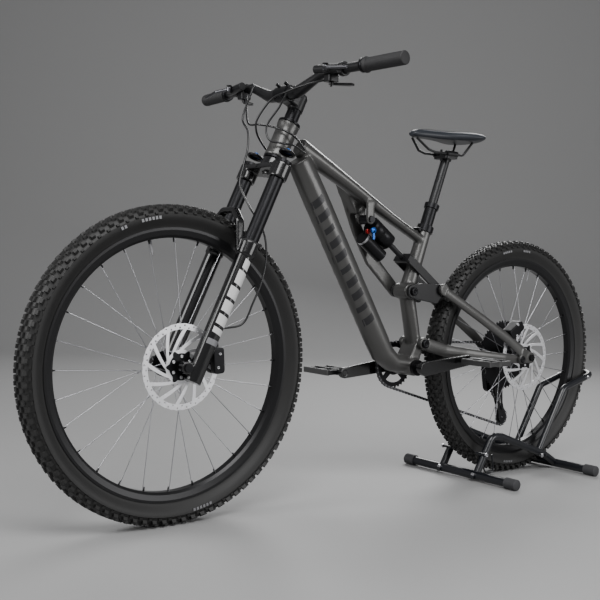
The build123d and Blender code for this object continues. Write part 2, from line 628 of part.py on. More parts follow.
with BuildPart() as cassette:
    for i, teeth in enumerate(cog_teeth):
        y = small_cog_y + cog_pitch * i
        cog = pitch_radius(teeth) - (chain_h / 2 + 0.4 if i == chain_cog else 0)
        across(*rear_axle_at, y, y + cog_t, cog)
    across(*rear_axle_at, small_cog_y, hub_mid - gap, 17)
    across(*rear_axle_at, -73.6, hub_mid - gap, 11)
    across(*rear_axle_at, -73.8, hub_mid, rear_axle_r + run, mode=Mode.SUBTRACT)

# Rear suspension -----------------------------------------------------------------------------------
def stay_tube(stations, side):
    """One stay through its stations: (x, z, y, half width, half depth)."""
    last_one = len(stations) - 1
    sections = []
    for i, (x, z, y, half_w, half_d) in enumerate(stations):
        ahead, behind = stations[max(i - 1, 0)], stations[min(i + 1, last_one)]
        along = Vector(ahead[0] - behind[0], 0, ahead[1] - behind[1])
        sections.append((at(x, z, side * y), along, half_w, half_d))
    oval_tube(sections)


lug_y = (pivot_half + gap, 44.0)
with BuildPart() as chainstays:
    for side in (1, -1):
        across(*main_pivot, side * lug_y[0], side * lug_y[1], 17)
        stay = [(400, 398, 40.5, 6, 19), (330, 380, 40.8, 6.6, 18), (250, 369, 46, 7, 17),
                (180, 361, 56, 7.5, 15), (105, 353, 66, 6, 14), (38, 347, 66, 5, 13)]
        stay_tube(stay, side)
        across(*horst_pivot, side * 60.5, side * 71, 13)
    with BuildSketch(Plane(origin=at(374, 392), x_dir=side_dir, z_dir=(1, 0, 0))) as bridge:
        RectangleRounded(84, 22, 5)
    extrude(bridge.sketch, amount=8, both=True)
    across(*main_pivot, -60, 60, 8 + run, mode=Mode.SUBTRACT)
    for side in (1, -1):
        across(*main_pivot, side * lug_y[1], side * 56, 14, mode=Mode.SUBTRACT)
    across(*main_pivot, -pivot_half - gap, pivot_half + gap, 19, mode=Mode.SUBTRACT)
    across(*horst_pivot, -90, 90, 6 + run, mode=Mode.SUBTRACT)

tab_in, tab_out = 38.2, 50.0
open_pivot_r = 12.0
with BuildPart() as seatstays:
    for side in (1, -1):
        across(*stay_pivot, side * tab_in, side * tab_out, 17)
        stay = [(338, 546, 46, 6.5, 14), (200, 472, 55, 8, 14), (90, 408, 67, 7.5, 15), (30, 366, 76, 5, 17)]
        stay_tube(stay, side)
        across(*rear_axle_at, side * (rear_hub_half + 0.2), side * 82, 17)
        across(*horst_pivot, side * (71 + gap), side * 81, 13)
        with BuildSketch(Plane(origin=at(0, 0, side * 74.2), x_dir=(1, 0, 0), z_dir=(0, side, 0))) as plate:
            with BuildLine():
                Polyline((-6, side * -367), (34, side * -380), (48, side * -352), (38, side * -336),
                         (0, side * -335), (-6, side * -367))
            make_face()
        extrude(plate.sketch, amount=7)
    with BuildSketch(Plane(origin=at(322, 542), x_dir=side_dir, z_dir=(0.86, 0, 0.51))) as bridge:
        RectangleRounded(92, 16, 5)
    extrude(bridge.sketch, amount=7, both=True)
    for side in (1, -1):
        across(*stay_pivot, side * 30, side * (tab_out - 3), open_pivot_r, mode=Mode.SUBTRACT)
        across(*stay_pivot, side * 10, side * tab_in, 19, mode=Mode.SUBTRACT)
        across(*horst_pivot, side * 50, side * (71 + gap), 15, mode=Mode.SUBTRACT)
        across(*horst_pivot, side * 61, side * 80, 6)
    across(*rear_axle_at, -90, 90, rear_axle_r, mode=Mode.SUBTRACT)

with BuildPart() as rear_axle:
    across(*rear_axle_at, -82, 86, rear_axle_r)
    across(*rear_axle_at, 82, 87, 10)

with BuildPart() as rocker_link:
    for side in (1, -1):
        plate_plane = Plane(origin=at(0, 0, side * 30.2), x_dir=(1, 0, 0), z_dir=(0, side, 0))
        with BuildSketch(plate_plane) as plate:
            for (x, z), r in ((rocker_pivot, 19), (stay_pivot, 15), ((368, 527), 14), ((420, 552), 18)):
                with Locations((x, -side * z)):
                    Circle(r)
            make_hull()
        extrude(plate.sketch, amount=7)
    across(*stay_pivot, 4 - tab_out, tab_out - 4, 6)
    for side in (1, -1):
        across(*rocker_pivot, side * 30, side * 38, 7 + run, mode=Mode.SUBTRACT)


def on_shock(distance, drop=0.0, y=0.0):
    """A point along the shock from its front eye, and drop below its axis."""
    x = shock_front[0] - shock_dir.X * distance + shock_dir.Z * drop
    return at(x, shock_front[1] - shock_dir.Z * distance - shock_dir.X * drop, y)


shock_len = hypot(shock_front[0] - stay_pivot[0], shock_front[1] - stay_pivot[1])
can_end, shaft_end = 100.0, 168.0
with BuildPart() as shock_can:
    across(*shock_front, 1 - lug_in, lug_in - 1, 13)
    disc(on_shock(11), -shock_dir, 12, 12)
    disc(on_shock(22), -shock_dir, can_end - 22, 24)
    disc(on_shock(18, 46), -shock_dir, 84, 19)
    with BuildSketch(Plane(origin=on_shock(34, 23), x_dir=side_dir, z_dir=-shock_dir)) as bridge:
        Rectangle(26, 36)
    extrude(bridge.sketch, amount=14, both=True)
    disc(on_shock(can_end - 72), -shock_dir, 73, 8 + run, mode=Mode.SUBTRACT)
    across(*shock_front, -30, 30, eye_bolt_r + run, mode=Mode.SUBTRACT)
    disc(on_shock(17, 34), -shock_dir, 3, 3, mode=Mode.SUBTRACT)

with BuildPart() as shock_shaft:
    disc(on_shock(can_end - 5), -shock_dir, shaft_end - can_end + 5, 8)
    with BuildSketch(Plane(origin=on_shock(shaft_end), x_dir=side_dir, z_dir=-shock_dir)) as head:
        RectangleRounded(58, 26, 6)
    extrude(head.sketch, amount=9)
    for side in (1, -1):
        with BuildSketch(Plane(origin=on_shock(shaft_end + 8.5, 0, side * 26.3), x_dir=side_dir, z_dir=-shock_dir)) as prong:
            RectangleRounded(5.4, 24, 1.5)
        extrude(prong.sketch, amount=shock_len - shaft_end - 8.5)
        across(*stay_pivot, side * 23.6, side * 29, 16)
        across(*stay_pivot, side * 20, side * 32, open_pivot_r, mode=Mode.SUBTRACT)

# Drivetrain ----------------------------------------------------------------------------------------
with BuildPart() as crank_set:
    across(bb_x, bb_height, -70, 70, 15)
    for side in (1, -1):
        turn = pi * (side > 0) + radians(crank_drop) * -1
        end_x, end_z = bb_x + crank_length * cos(turn), bb_height + crank_length * sin(turn)
        with BuildSketch(Plane(origin=at(0, 0, side * 65), x_dir=(1, 0, 0), z_dir=(0, side, 0))) as arm:
            for (x, z), r in (((bb_x, bb_height), 20), ((end_x, end_z), 15)):
                with Locations((x, -side * z)):
                    Circle(r)
            make_hull()
        extrude(arm.sketch, amount=13)
        across(end_x, end_z, side * 60, side * 90, 7 + run, mode=Mode.SUBTRACT)
    across(bb_x, bb_height, -64, -54, 20)

with BuildPart() as chainring:
    ring = pitch_radius(32) - chain_h / 2 - 0.4
    across(bb_x, bb_height, chain_y - 1.5, chain_y + 1.5, ring, ring - 10)
    across(bb_x, bb_height, chain_y - 1.5, chain_y + 1.5, 26, 15)
    for i in range(4):
        turn = radians(45 + 90 * i)
        with BuildSketch(Plane(origin=at(bb_x, bb_height, chain_y - 1.5), x_dir=(cos(turn), 0, sin(turn)),
                               z_dir=(0, 1, 0))) as arm:
            with Locations((35, 0)):
                Rectangle(36, 10)
        extrude(arm.sketch, amount=3)
    add(crank_set.part, mode=Mode.SUBTRACT)


def pedal(side):
    """A flat pedal on its axle, level beside the crank's end."""
    turn = pi * (side > 0) - radians(crank_drop)
    end_x, end_z = bb_x + crank_length * cos(turn), bb_height + crank_length * sin(turn)
    across(end_x, end_z, side * 66, side * 84, 7)
    across(end_x, end_z, side * 84, side * (84 + pedal_axle_len), 9)
    for offset in (-44, 36):
        with BuildSketch(Plane(origin=at(end_x + offset, end_z, side * 90), x_dir=(1, 0, 0), z_dir=(0, side, 0))) as rail:
            with Locations((4, 0)):
                RectangleRounded(10, 16, 3)
        extrude(rail.sketch, amount=104)
    for y in (90, 134, 184):
        with BuildSketch(Plane(origin=at(end_x, end_z, side * y), x_dir=(1, 0, 0), z_dir=(0, side, 0))) as bar:
            RectangleRounded(90, 13, 3)
        extrude(bar.sketch, amount=10)


with BuildPart() as left_pedal:
    pedal(1)
with BuildPart() as right_pedal:
    pedal(-1)

upper_jockey, lower_jockey = (-6.0, 240.0), (-26.0, 152.0)
jockey_pitch = pitch_radius(12)


def tangent(first, r1, second, r2):
    """Where a line leaves one circle and meets the next; a radius is positive when passed clockwise."""
    dx, dz = second[0] - first[0], second[1] - first[1]
    angle = atan2(dz, dx) + acos((r1 - r2) / hypot(dx, dz))
    return [(c[0] + r * cos(angle), c[1] + r * sin(angle)) for c, r in ((first, r1), (second, r2))]


# Run round in order: ring top to cog, round the cog, jockeys, back to the ring's foot
ring_at = (bb_x, bb_height)
wheels = [(ring_at, pitch_radius(32)), (lower_jockey, jockey_pitch), (upper_jockey, -jockey_pitch),
          (rear_axle_at, pitch_radius(cog_teeth[chain_cog]))]


def belt(shift):
    """The closed line round the wheels, moved sideways by shift."""
    rounds = [(c, r + shift) for c, r in wheels]
    spans = [tangent(*rounds[i], *rounds[(i + 1) % 4]) for i in range(4)]
    for i, (leave, meet) in enumerate(spans):
        Line(leave, meet)
        (cx, cz), r = rounds[(i + 1) % 4]
        away = spans[(i + 1) % 4][0]
        a0, a1 = atan2(meet[1] - cz, meet[0] - cx), atan2(away[1] - cz, away[0] - cx)
        spin = -((a0 - a1) % (2 * pi)) if r > 0 else (a1 - a0) % (2 * pi)
        ThreePointArc(meet, (cx + abs(r) * cos(a0 + spin / 2), cz + abs(r) * sin(a0 + spin / 2)), away)


with BuildPart() as chain:
    with BuildSketch(Plane(origin=at(0, 0, chain_y + 2.5), x_dir=(1, 0, 0), z_dir=(0, -1, 0))) as links:
        for shift, mode in ((chain_h / 2, Mode.ADD), (-chain_h / 2, Mode.SUBTRACT)):
            with BuildLine() as line:
                belt(shift)
            make_face(line.edges(), mode=mode)
    extrude(links.sketch, amount=5)

with BuildPart() as upper_jockey_wheel:
    across(*upper_jockey, chain_y - 1.2, chain_y + 1.2, jockey_pitch - chain_h / 2 - 0.4, 4 + run)
with BuildPart() as lower_jockey_wheel:
    across(*lower_jockey, chain_y - 1.2, chain_y + 1.2, jockey_pitch - chain_h / 2 - 0.4, 4 + run)

with BuildPart() as derailleur_cage:
    for y, side in ((chain_y - 7, -1), (chain_y + 4, 1)):
        with BuildSketch(Plane(origin=at(0, 0, y), x_dir=(1, 0, 0), z_dir=(0, 1, 0))) as plate:
            for (x, z), r in ((upper_jockey, 18), (lower_jockey, 16)):
                with Locations((x, -z)):
                    Circle(r)
            make_hull()
        extrude(plate.sketch, amount=3)
    for x, z in (upper_jockey, lower_jockey):
        across(x, z, chain_y - 8, chain_y + 8, 4)

with BuildPart() as derailleur_body:
    across(-6, 322, -84, -70, 11)
    with BuildSketch(Plane(origin=at(0, 0, -70), x_dir=(1, 0, 0), z_dir=(0, -1, 0))) as hanger:
        for (x, z), r in (((-6, 322), 11), ((14, 288), 15), ((2, 250), 20)):
            with Locations((x, z)):
                Circle(r)
        make_hull()
    extrude(hanger.sketch, amount=18)
    across(*upper_jockey, -70, chain_y - 9, 15)
    across(0, rear_tyre_r, -100, 0, 19, mode=Mode.SUBTRACT)
    add(seatstays.part, mode=Mode.SUBTRACT)


# Brakes --------------------------------------------------------------------------------------------
def caliper(centre, angle, y):
    """A four-piston caliper over a rotor's edge, turned to angle round the axle."""
    turned_x = (cos(radians(angle)), 0, sin(radians(angle)))
    with BuildSketch(Plane(origin=centre + Vector(0, y - 17, 0), x_dir=turned_x, z_dir=(0, 1, 0))) as block:
        RectangleRounded(30, 62, 8)
    extrude(block.sketch, amount=36)
    with BuildSketch(Plane(origin=centre + Vector(0, y - 2, 0), x_dir=turned_x, z_dir=(0, 1, 0))) as slot:
        with Locations((-3, 0)):
            Rectangle(26, 80)
    extrude(slot.sketch, amount=4, mode=Mode.SUBTRACT)


front_caliper_at = at(axle_f[0] - 92, axle_f[1] + 12)
with BuildPart() as front_caliper:
    caliper(front_caliper_at, 176, front_rotor_y)
    add(fork_lowers.part, mode=Mode.SUBTRACT)
rear_caliper_at = at(58, rear_tyre_r + 84)
with BuildPart() as rear_caliper:
    caliper(rear_caliper_at, 56, rear_rotor_y)
    add(seatstays.part, mode=Mode.SUBTRACT)

# Hoses and housings --------------------------------------------------------------------------------
hose_r = 2.5


def hose(points):
    """A hose whose bends are as large as its runs allow."""
    radii = []
    for before, here, after in zip(points, points[1:], points[2:]):
        turn = (here - before).get_angle(after - here)
        short = min((here - before).length, (after - here).length)
        radii.append(0.45 * short / tan(radians(turn) / 2))
    print("hose bends", [round(r) for r in radii])
    with BuildLine() as route:
        FilletPolyline(*points, radius=radii)
    with BuildSketch(Plane(origin=route.line @ 0, z_dir=route.line % 0)) as end:
        Circle(hose_r)
    sweep(end.sketch, path=route.line)


left_port = lever_span["left"][0] + Vector(-12, -78, 2)
right_port = lever_span["right"][0] + Vector(-12, 78, 2)
with BuildPart() as front_brake_hose:
    hose([right_port, right_port + Vector(10, 34, -8), on_fork(656, 78, -92), on_fork(620, 66, -62),
          on_fork(575, 56, -46), on_fork(530, 52, -39), on_fork(475, 48, -25), on_fork(430, 22, 10),
          on_fork(385, -24, 40), on_fork(330, -48, 58), on_fork(270, -58, 66), on_fork(210, -58, 67),
          on_fork(152, -54, 64), front_caliper_at + Vector(-3, 50, 70),
          front_caliper_at + Vector(-3, 50, 31.8)])

shift_port = shift_pin + Vector(14, 16, -22)
drop_port = drop_pin + Vector(14, -16, -22)
with BuildPart() as rear_hoses:
    hose([shift_port, shift_port + Vector(20, 34, -6), on_fork(652, 60, -90), on_fork(646, 52, -50),
          on_fork(641, 44, -6), on_fork(637, 22, 32), on_fork(633, -8, 44), on_fork(622, -46, 42)])
    hose([left_port, left_port + Vector(6, -40, -6), on_fork(722, 70, 52), on_fork(684, 58, 22),
          on_fork(632, 58, 2), on_fork(602, 42, 12), on_fork(604, 18, 36), on_fork(613, -12, 47),
          on_fork(612, -46, 47)])
    hose([drop_port, drop_port + Vector(20, -34, -6), on_fork(704, 84, 66), on_fork(688, 86, 20),
          on_fork(640, 82, -12), on_fork(616, 66, -22), on_fork(606, 32, -38), on_fork(598, -10, -48),
          on_fork(596, -46, -44)])

pieces = {
    "stand_foot_bars": stand_foot_bars, "stand_foot_caps": stand_foot_caps,
    "stand_side_arches": stand_side_arches, "stand_wheel_loop": stand_wheel_loop,
    "stand_fittings": stand_fittings, "head_tube": head_tube, "top_tube": top_tube,
    "down_tube": down_tube, "seat_tube": seat_tube, "bottom_bracket_shell": bottom_bracket_shell,
    "side_arm": side_arm, "frame_hardware": frame_hardware,
    "dropper_outer": dropper_outer, "dropper_inner": dropper_inner, "saddle_rails": saddle_rails,
    "saddle": saddle, "fork_crown": fork_crown, "stanchions": stanchions, "fork_lowers": fork_lowers,
    "front_axle": front_axle, "stem": stem, "stem_hardware": stem_hardware, "handlebar": handlebar,
    "grips": grips, "brake_masters": brake_masters, "control_bodies": control_bodies,
    "left_brake_lever": left_brake_lever, "right_brake_lever": right_brake_lever,
    "shift_paddle": shift_paddle, "dropper_paddle": dropper_paddle, "front_tyre": front_tyre,
    "front_rim": front_rim, "front_spokes": front_spokes, "front_rotor": front_rotor,
    "front_hub": front_hub, "rear_tyre": rear_tyre, "rear_rim": rear_rim, "rear_spokes": rear_spokes,
    "rear_rotor": rear_rotor, "rear_hub": rear_hub, "cassette": cassette, "chainstays": chainstays,
    "seatstays": seatstays, "rear_axle": rear_axle, "rocker_link": rocker_link, "shock_can": shock_can,
    "shock_shaft": shock_shaft, "crank_set": crank_set, "chainring": chainring,
    "left_pedal": left_pedal, "right_pedal": right_pedal, "chain": chain,
    "upper_jockey_wheel": upper_jockey_wheel, "lower_jockey_wheel": lower_jockey_wheel,
    "derailleur_cage": derailleur_cage, "derailleur_body": derailleur_body,
    "front_caliper": front_caliper, "rear_caliper": rear_caliper,
    "front_brake_hose": front_brake_hose, "rear_hoses": rear_hoses,
}
for name, piece in pieces.items():
    write(piece.part, name)
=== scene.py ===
import json
import math

import bpy
from mathutils import Matrix, Vector
from mathutils.bvhtree import BVHTree


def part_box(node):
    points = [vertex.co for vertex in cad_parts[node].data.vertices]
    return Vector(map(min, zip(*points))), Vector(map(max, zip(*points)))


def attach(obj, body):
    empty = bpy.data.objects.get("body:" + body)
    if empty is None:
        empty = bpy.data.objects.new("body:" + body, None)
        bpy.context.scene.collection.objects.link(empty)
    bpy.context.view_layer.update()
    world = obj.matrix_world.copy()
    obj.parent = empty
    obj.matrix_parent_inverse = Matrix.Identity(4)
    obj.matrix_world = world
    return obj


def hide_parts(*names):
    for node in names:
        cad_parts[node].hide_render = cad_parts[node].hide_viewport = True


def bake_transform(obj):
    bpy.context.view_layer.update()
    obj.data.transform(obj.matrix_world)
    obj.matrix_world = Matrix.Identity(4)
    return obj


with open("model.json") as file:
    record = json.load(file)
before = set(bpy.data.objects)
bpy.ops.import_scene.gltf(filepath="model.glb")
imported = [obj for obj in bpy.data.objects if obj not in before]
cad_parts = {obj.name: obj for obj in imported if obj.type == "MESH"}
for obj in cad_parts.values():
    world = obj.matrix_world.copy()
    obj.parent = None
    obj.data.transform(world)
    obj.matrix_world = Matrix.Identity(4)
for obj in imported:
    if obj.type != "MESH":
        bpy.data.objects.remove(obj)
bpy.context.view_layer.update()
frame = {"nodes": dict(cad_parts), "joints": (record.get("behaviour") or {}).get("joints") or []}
cadNodes = frame["nodes"]
joints = {j["name"]: j for j in frame["joints"]}

mm = 0.001
rearAxle = Vector(joints["rear_wheel_spin"]["pos_m"])
frontAxle = Vector(joints["front_wheel_spin"]["pos_m"])
crankAxle = Vector(joints["crank_spin"]["pos_m"])
guideAxle = Vector(joints["guide_wheel_spin"]["pos_m"])
tensionAxle = Vector(joints["tension_wheel_spin"]["pos_m"])
steerAxis = Vector(joints["steer"]["axis"]).normalized()
frontDir = Vector((steerAxis.z, 0, -steerAxis.x))
forkOffset = 44


def at(x, z, y=0.0):
    return Vector((rearAxle.x + x * mm, y * mm, z * mm))


def onFork(along, ahead, y=0.0):
    point = frontAxle + steerAxis * along * mm + frontDir * (ahead - forkOffset) * mm
    return Vector((point.x, y * mm, point.z))


# Shader groups

def newGroup(name, inputs, outputs):
    group = bpy.data.node_groups.new(name, "ShaderNodeTree")
    for label, kind, value in inputs:
        socket = group.interface.new_socket(label, in_out="INPUT", socket_type=kind)
        if value is not None:
            socket.default_value = value
    for label, kind in outputs:
        group.interface.new_socket(label, in_out="OUTPUT", socket_type=kind)
    return group, group.nodes.new("NodeGroupInput"), group.nodes.new("NodeGroupOutput")


def bumpGroup(name, texture, reading, scale, strength, depth):
    group, start, end = newGroup(
        name, [("Scale", "NodeSocketFloat", scale), ("Strength", "NodeSocketFloat", strength)],
        [("Normal", "NodeSocketVector")])
    place = group.nodes.new("ShaderNodeTexCoord")
    pattern = group.nodes.new(texture)
    bump = group.nodes.new("ShaderNodeBump")
    bump.inputs["Distance"].default_value = depth
    group.links.new(place.outputs["Object"], pattern.inputs["Vector"])
    group.links.new(start.outputs["Scale"], pattern.inputs["Scale"])
    group.links.new(start.outputs["Strength"], bump.inputs["Strength"])
    group.links.new(pattern.outputs[reading], bump.inputs["Height"])
    group.links.new(bump.outputs["Normal"], end.inputs["Normal"])
    return group


def tintGroup(name, second, shade, share, extra=()):
    group, start, end = newGroup(
        name, [("Color", "NodeSocketColor", (0, 0, 0, 1)), (second, "NodeSocketColor", shade),
               ("Amount", "NodeSocketFloat", share), *extra], [("Color", "NodeSocketColor")])
    scale = group.nodes.new("ShaderNodeMath")
    scale.operation = "MULTIPLY"
    mix = group.nodes.new("ShaderNodeMix")
    mix.data_type = "RGBA"
    group.links.new(start.outputs["Amount"], scale.inputs[1])
    group.links.new(scale.outputs[0], mix.inputs[0])
    group.links.new(start.outputs["Color"], mix.inputs[6])
    group.links.new(start.outputs[second], mix.inputs[7])
    group.links.new(mix.outputs[2], end.inputs["Color"])
    return group, start, scale


def dustGroup():
    group, start, scale = tintGroup("dust", "Dust Color", (0.2, 0.18, 0.15, 1), 0.2,
                                    [("Scale", "NodeSocketFloat", 30.0)])
    place = group.nodes.new("ShaderNodeTexCoord")
    noise = group.nodes.new("ShaderNodeTexNoise")
    noise.inputs["Detail"].default_value = 6
    group.links.new(place.outputs["Object"], noise.inputs["Vector"])
    group.links.new(start.outputs["Scale"], noise.inputs["Scale"])
    group.links.new(noise.outputs["Fac"], scale.inputs[0])
    return group


def wearGroup():
    group, start, scale = tintGroup("edgeWear", "Wear Color", (0.4, 0.4, 0.4, 1), 0.5)
    shape = group.nodes.new("ShaderNodeNewGeometry")
    span = group.nodes.new("ShaderNodeMapRange")
    span.inputs["From Min"].default_value = 0.52
    span.inputs["From Max"].default_value = 0.62
    group.links.new(shape.outputs["Pointiness"], span.inputs["Value"])
    group.links.new(span.outputs["Result"], scale.inputs[0])
    return group


groups = {"grain": bumpGroup("surfaceGrain", "ShaderNodeTexNoise", "Fac", 400.0, 0.1, 0.001),
          "weave": bumpGroup("diamondWeave", "ShaderNodeTexVoronoi", "Distance", 300.0, 0.3, 0.0008),
          "dust": dustGroup(), "wear": wearGroup()}
looks = {}


def look(name, color, metallic=0.0, roughness=0.5, coat=0.0, bump=None, dust=None, wear=None):
    material = bpy.data.materials.new(name)
    material.use_nodes = True
    tree = material.node_tree
    shader = tree.nodes["Principled BSDF"]
    shader.inputs["Base Color"].default_value = (*color, 1)
    shader.inputs["Metallic"].default_value = metallic
    shader.inputs["Roughness"].default_value = roughness
    shader.inputs["Coat Weight"].default_value = coat
    shader.inputs["Coat Roughness"].default_value = 0.08
    if bump:
        node = tree.nodes.new("ShaderNodeGroup")
        node.node_tree = groups[bump[0]]
        node.inputs["Scale"].default_value = bump[1]
        node.inputs["Strength"].default_value = bump[2]
        tree.links.new(node.outputs["Normal"], shader.inputs["Normal"])
    tint = ("dust", dust) if dust else ("wear", wear) if wear else None
    if tint:
        node = tree.nodes.new("ShaderNodeGroup")
        node.node_tree = groups[tint[0]]
        node.inputs["Color"].default_value = (*color, 1)
        node.inputs["Amount"].default_value = tint[1][0]
        node.inputs["Dust Color" if dust else "Wear Color"].default_value = (*tint[1][1], 1)
        tree.links.new(node.outputs["Color"], shader.inputs["Base Color"])
    looks[name] = material
    return material


look("framePaint", (0.084, 0.083, 0.081), 0.6, 0.36, coat=0.2, bump=("grain", 900.0, 0.03))
look("standPaint", (0.006, 0.007, 0.010), 0.1, 0.3, coat=0.25, bump=("grain", 700.0, 0.05))
look("capRubber", (0.035, 0.035, 0.038), 0.0, 0.7, bump=("grain", 900.0, 0.15))
look("boltSteel", (0.6, 0.6, 0.62), 1.0, 0.3)
look("blackGloss", (0.004, 0.004, 0.0045), 0.0, 0.2, coat=0.35)
look("blackSatin", (0.008, 0.008, 0.009), 0.3, 0.38, coat=0.05, bump=("grain", 900.0, 0.04))
look("blackAnodised", (0.012, 0.012, 0.0135), 0.75, 0.32)
look("matteBlack", (0.012, 0.012, 0.013), 0.0, 0.6, bump=("grain", 800.0, 0.08))
look("saddleCover", (0.012, 0.015, 0.021), 0.0, 0.42, bump=("weave", 600.0, 0.12))
look("gripRubber", (0.012, 0.012, 0.013), 0.0, 0.62, bump=("grain", 900.0, 0.2))
look("tyreRubber", (0.009, 0.009, 0.009), 0.0, 0.55, bump=("grain", 500.0, 0.15),
     dust=(0.08, (0.05, 0.045, 0.04)))
look("rimBlack", (0.012, 0.012, 0.013), 0.5, 0.32)
look("spokeSteel", (0.42, 0.42, 0.44), 1.0, 0.3)
look("rotorSteel", (0.78, 0.78, 0.8), 0.9, 0.38, bump=("grain", 1500.0, 0.08))
look("cogSteel", (0.2, 0.2, 0.21), 1.0, 0.35, wear=(0.5, (0.5, 0.5, 0.5)))
look("chainSteel", (0.09, 0.09, 0.095), 1.0, 0.38)
look("silver", (0.55, 0.55, 0.57), 1.0, 0.28)
look("darkSilver", (0.13, 0.13, 0.14), 1.0, 0.3)
look("pedalMetal", (0.014, 0.014, 0.015), 0.6, 0.42, wear=(0.35, (0.2, 0.2, 0.2)))
look("blueAnodised", (0.02, 0.10, 0.38), 0.9, 0.3)
look("redAnodised", (0.3, 0.015, 0.015), 0.9, 0.35)
look("hoseBlack", (0.007, 0.007, 0.008), 0.0, 0.3)
look("decalDark", (0.018, 0.018, 0.02), 0.2, 0.35)
look("decalWhite", (0.62, 0.62, 0.62), 0.0, 0.4)
look("decalGrey", (0.2, 0.2, 0.21), 0.1, 0.4)
print("stage: materials")

# Building helpers


def meshObject(name, verts, faces, material, smooth=True):
    mesh = bpy.data.meshes.new(name)
    mesh.from_pydata([tuple(v) for v in verts], [], faces)
    mesh.update()
    mesh.polygons.foreach_set("use_smooth", [smooth] * len(mesh.polygons))
    mesh.materials.append(looks[material])
    obj = bpy.data.objects.new(name, mesh)
    bpy.context.scene.collection.objects.link(obj)
    return obj


def settle(obj):
    graph = bpy.context.evaluated_depsgraph_get()
    mesh = bpy.data.meshes.new_from_object(obj.evaluated_get(graph), depsgraph=graph)
    mesh.transform(obj.matrix_world)
    name = obj.name
    bpy.data.objects.remove(obj)
    made = bpy.data.objects.new(name, mesh)
    bpy.context.scene.collection.objects.link(made)
    return made


def joined(name, objects):
    verts, faces, slots, smooth, materials = [], [], [], [], []
    for obj in objects:
        base = len(verts)
        verts += [v.co.copy() for v in obj.data.vertices]
        own = [m for m in obj.data.materials] or [looks["blackSatin"]]
        for m in own:
            if m not in materials:
                materials.append(m)
        for p in obj.data.polygons:
            faces.append([base + i for i in p.vertices])
            slots.append(materials.index(own[min(p.material_index, len(own) - 1)]))
            smooth.append(p.use_smooth)
        bpy.data.objects.remove(obj)
    mesh = bpy.data.meshes.new(name)
    mesh.from_pydata([tuple(v) for v in verts], [], faces)
    for m in materials:
        mesh.materials.append(m)
    mesh.polygons.foreach_set("material_index", slots)
    mesh.polygons.foreach_set("use_smooth", smooth)
    mesh.update()
    obj = bpy.data.objects.new(name, mesh)
    bpy.context.scene.collection.objects.link(obj)
    return obj


def piece(obj, body, replaces=()):
    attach(obj, body)
    if replaces:
        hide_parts(*replaces)
    return obj


def lathe(name, profile, base, direction, material, steps=64, smooth=True, close=False):
    direction = Vector(direction).normalized()
    side = direction.orthogonal().normalized()
    up = direction.cross(side)
    verts, faces, count = [], [], len(profile)
    for i in range(steps):
        turn = 2 * math.pi * i / steps
        out = side * math.cos(turn) + up * math.sin(turn)
        verts += [Vector(base) + direction * a * mm + out * r * mm for a, r in profile]
    spans = count if close else count - 1
    for i in range(steps):
        here, there = i * count, (i + 1) % steps * count
        for j in range(spans):
            k = (j + 1) % count
            faces.append([here + j, here + k, there + k, there + j])
    return meshObject(name, verts, faces, material, smooth)


def rounded(points, samples=8):
    points = [Vector(p) for p in points]
    ends = [points[0] * 2 - points[1]] + points + [points[-1] * 2 - points[-2]]
    line = []
    for a, b, c, d in zip(ends, ends[1:], ends[2:], ends[3:]):
        for i in range(samples):
            t = i / samples
            line.append(0.5 * (2 * b + (c - a) * t + (2 * a - 5 * b + 4 * c - d) * t * t
                               + (3 * b - a - 3 * c + d) * t ** 3))
    return line + [points[-1]]


def newTree(name, inputs):
    tree = bpy.data.node_groups.new(name, "GeometryNodeTree")
    for label, kind in (("Geometry", "Geometry"), *inputs, ("Material", "Material")):
        tree.interface.new_socket(label, in_out="INPUT", socket_type="NodeSocket" + kind)
    tree.interface.new_socket("Geometry", in_out="OUTPUT", socket_type="NodeSocketGeometry")
    return tree, tree.nodes.new("NodeGroupInput"), tree.nodes.new("NodeGroupOutput")


def paintedEnd(tree, start, end, last):
    paint = tree.nodes.new("GeometryNodeSetMaterial")
    tree.links.new(last, paint.inputs["Geometry"])
    tree.links.new(start.outputs["Material"], paint.inputs["Material"])
    tree.links.new(paint.outputs["Geometry"], end.inputs["Geometry"])
    return tree


def tubeTree():
    tree, start, end = newTree("tubeAlong", [("Radius", "Float")])
    curve = tree.nodes.new("GeometryNodeMeshToCurve")
    ring = tree.nodes.new("GeometryNodeCurvePrimitiveCircle")
    ring.inputs["Resolution"].default_value = 12
    sweep = tree.nodes.new("GeometryNodeCurveToMesh")
    sweep.inputs["Fill Caps"].default_value = True
    smooth = tree.nodes.new("GeometryNodeSetShadeSmooth")
    real = tree.nodes.new("GeometryNodeRealizeInstances")
    link = tree.links.new
    link(start.outputs["Geometry"], curve.inputs["Mesh"])
    link(start.outputs["Radius"], ring.inputs["Radius"])
    link(curve.outputs["Curve"], sweep.inputs["Curve"])
    link(ring.outputs["Curve"], sweep.inputs["Profile Curve"])
    link(sweep.outputs["Mesh"], smooth.inputs["Geometry"])
    link(smooth.outputs["Geometry"], real.inputs["Geometry"])
    return paintedEnd(tree, start, end, real.outputs["Geometry"])


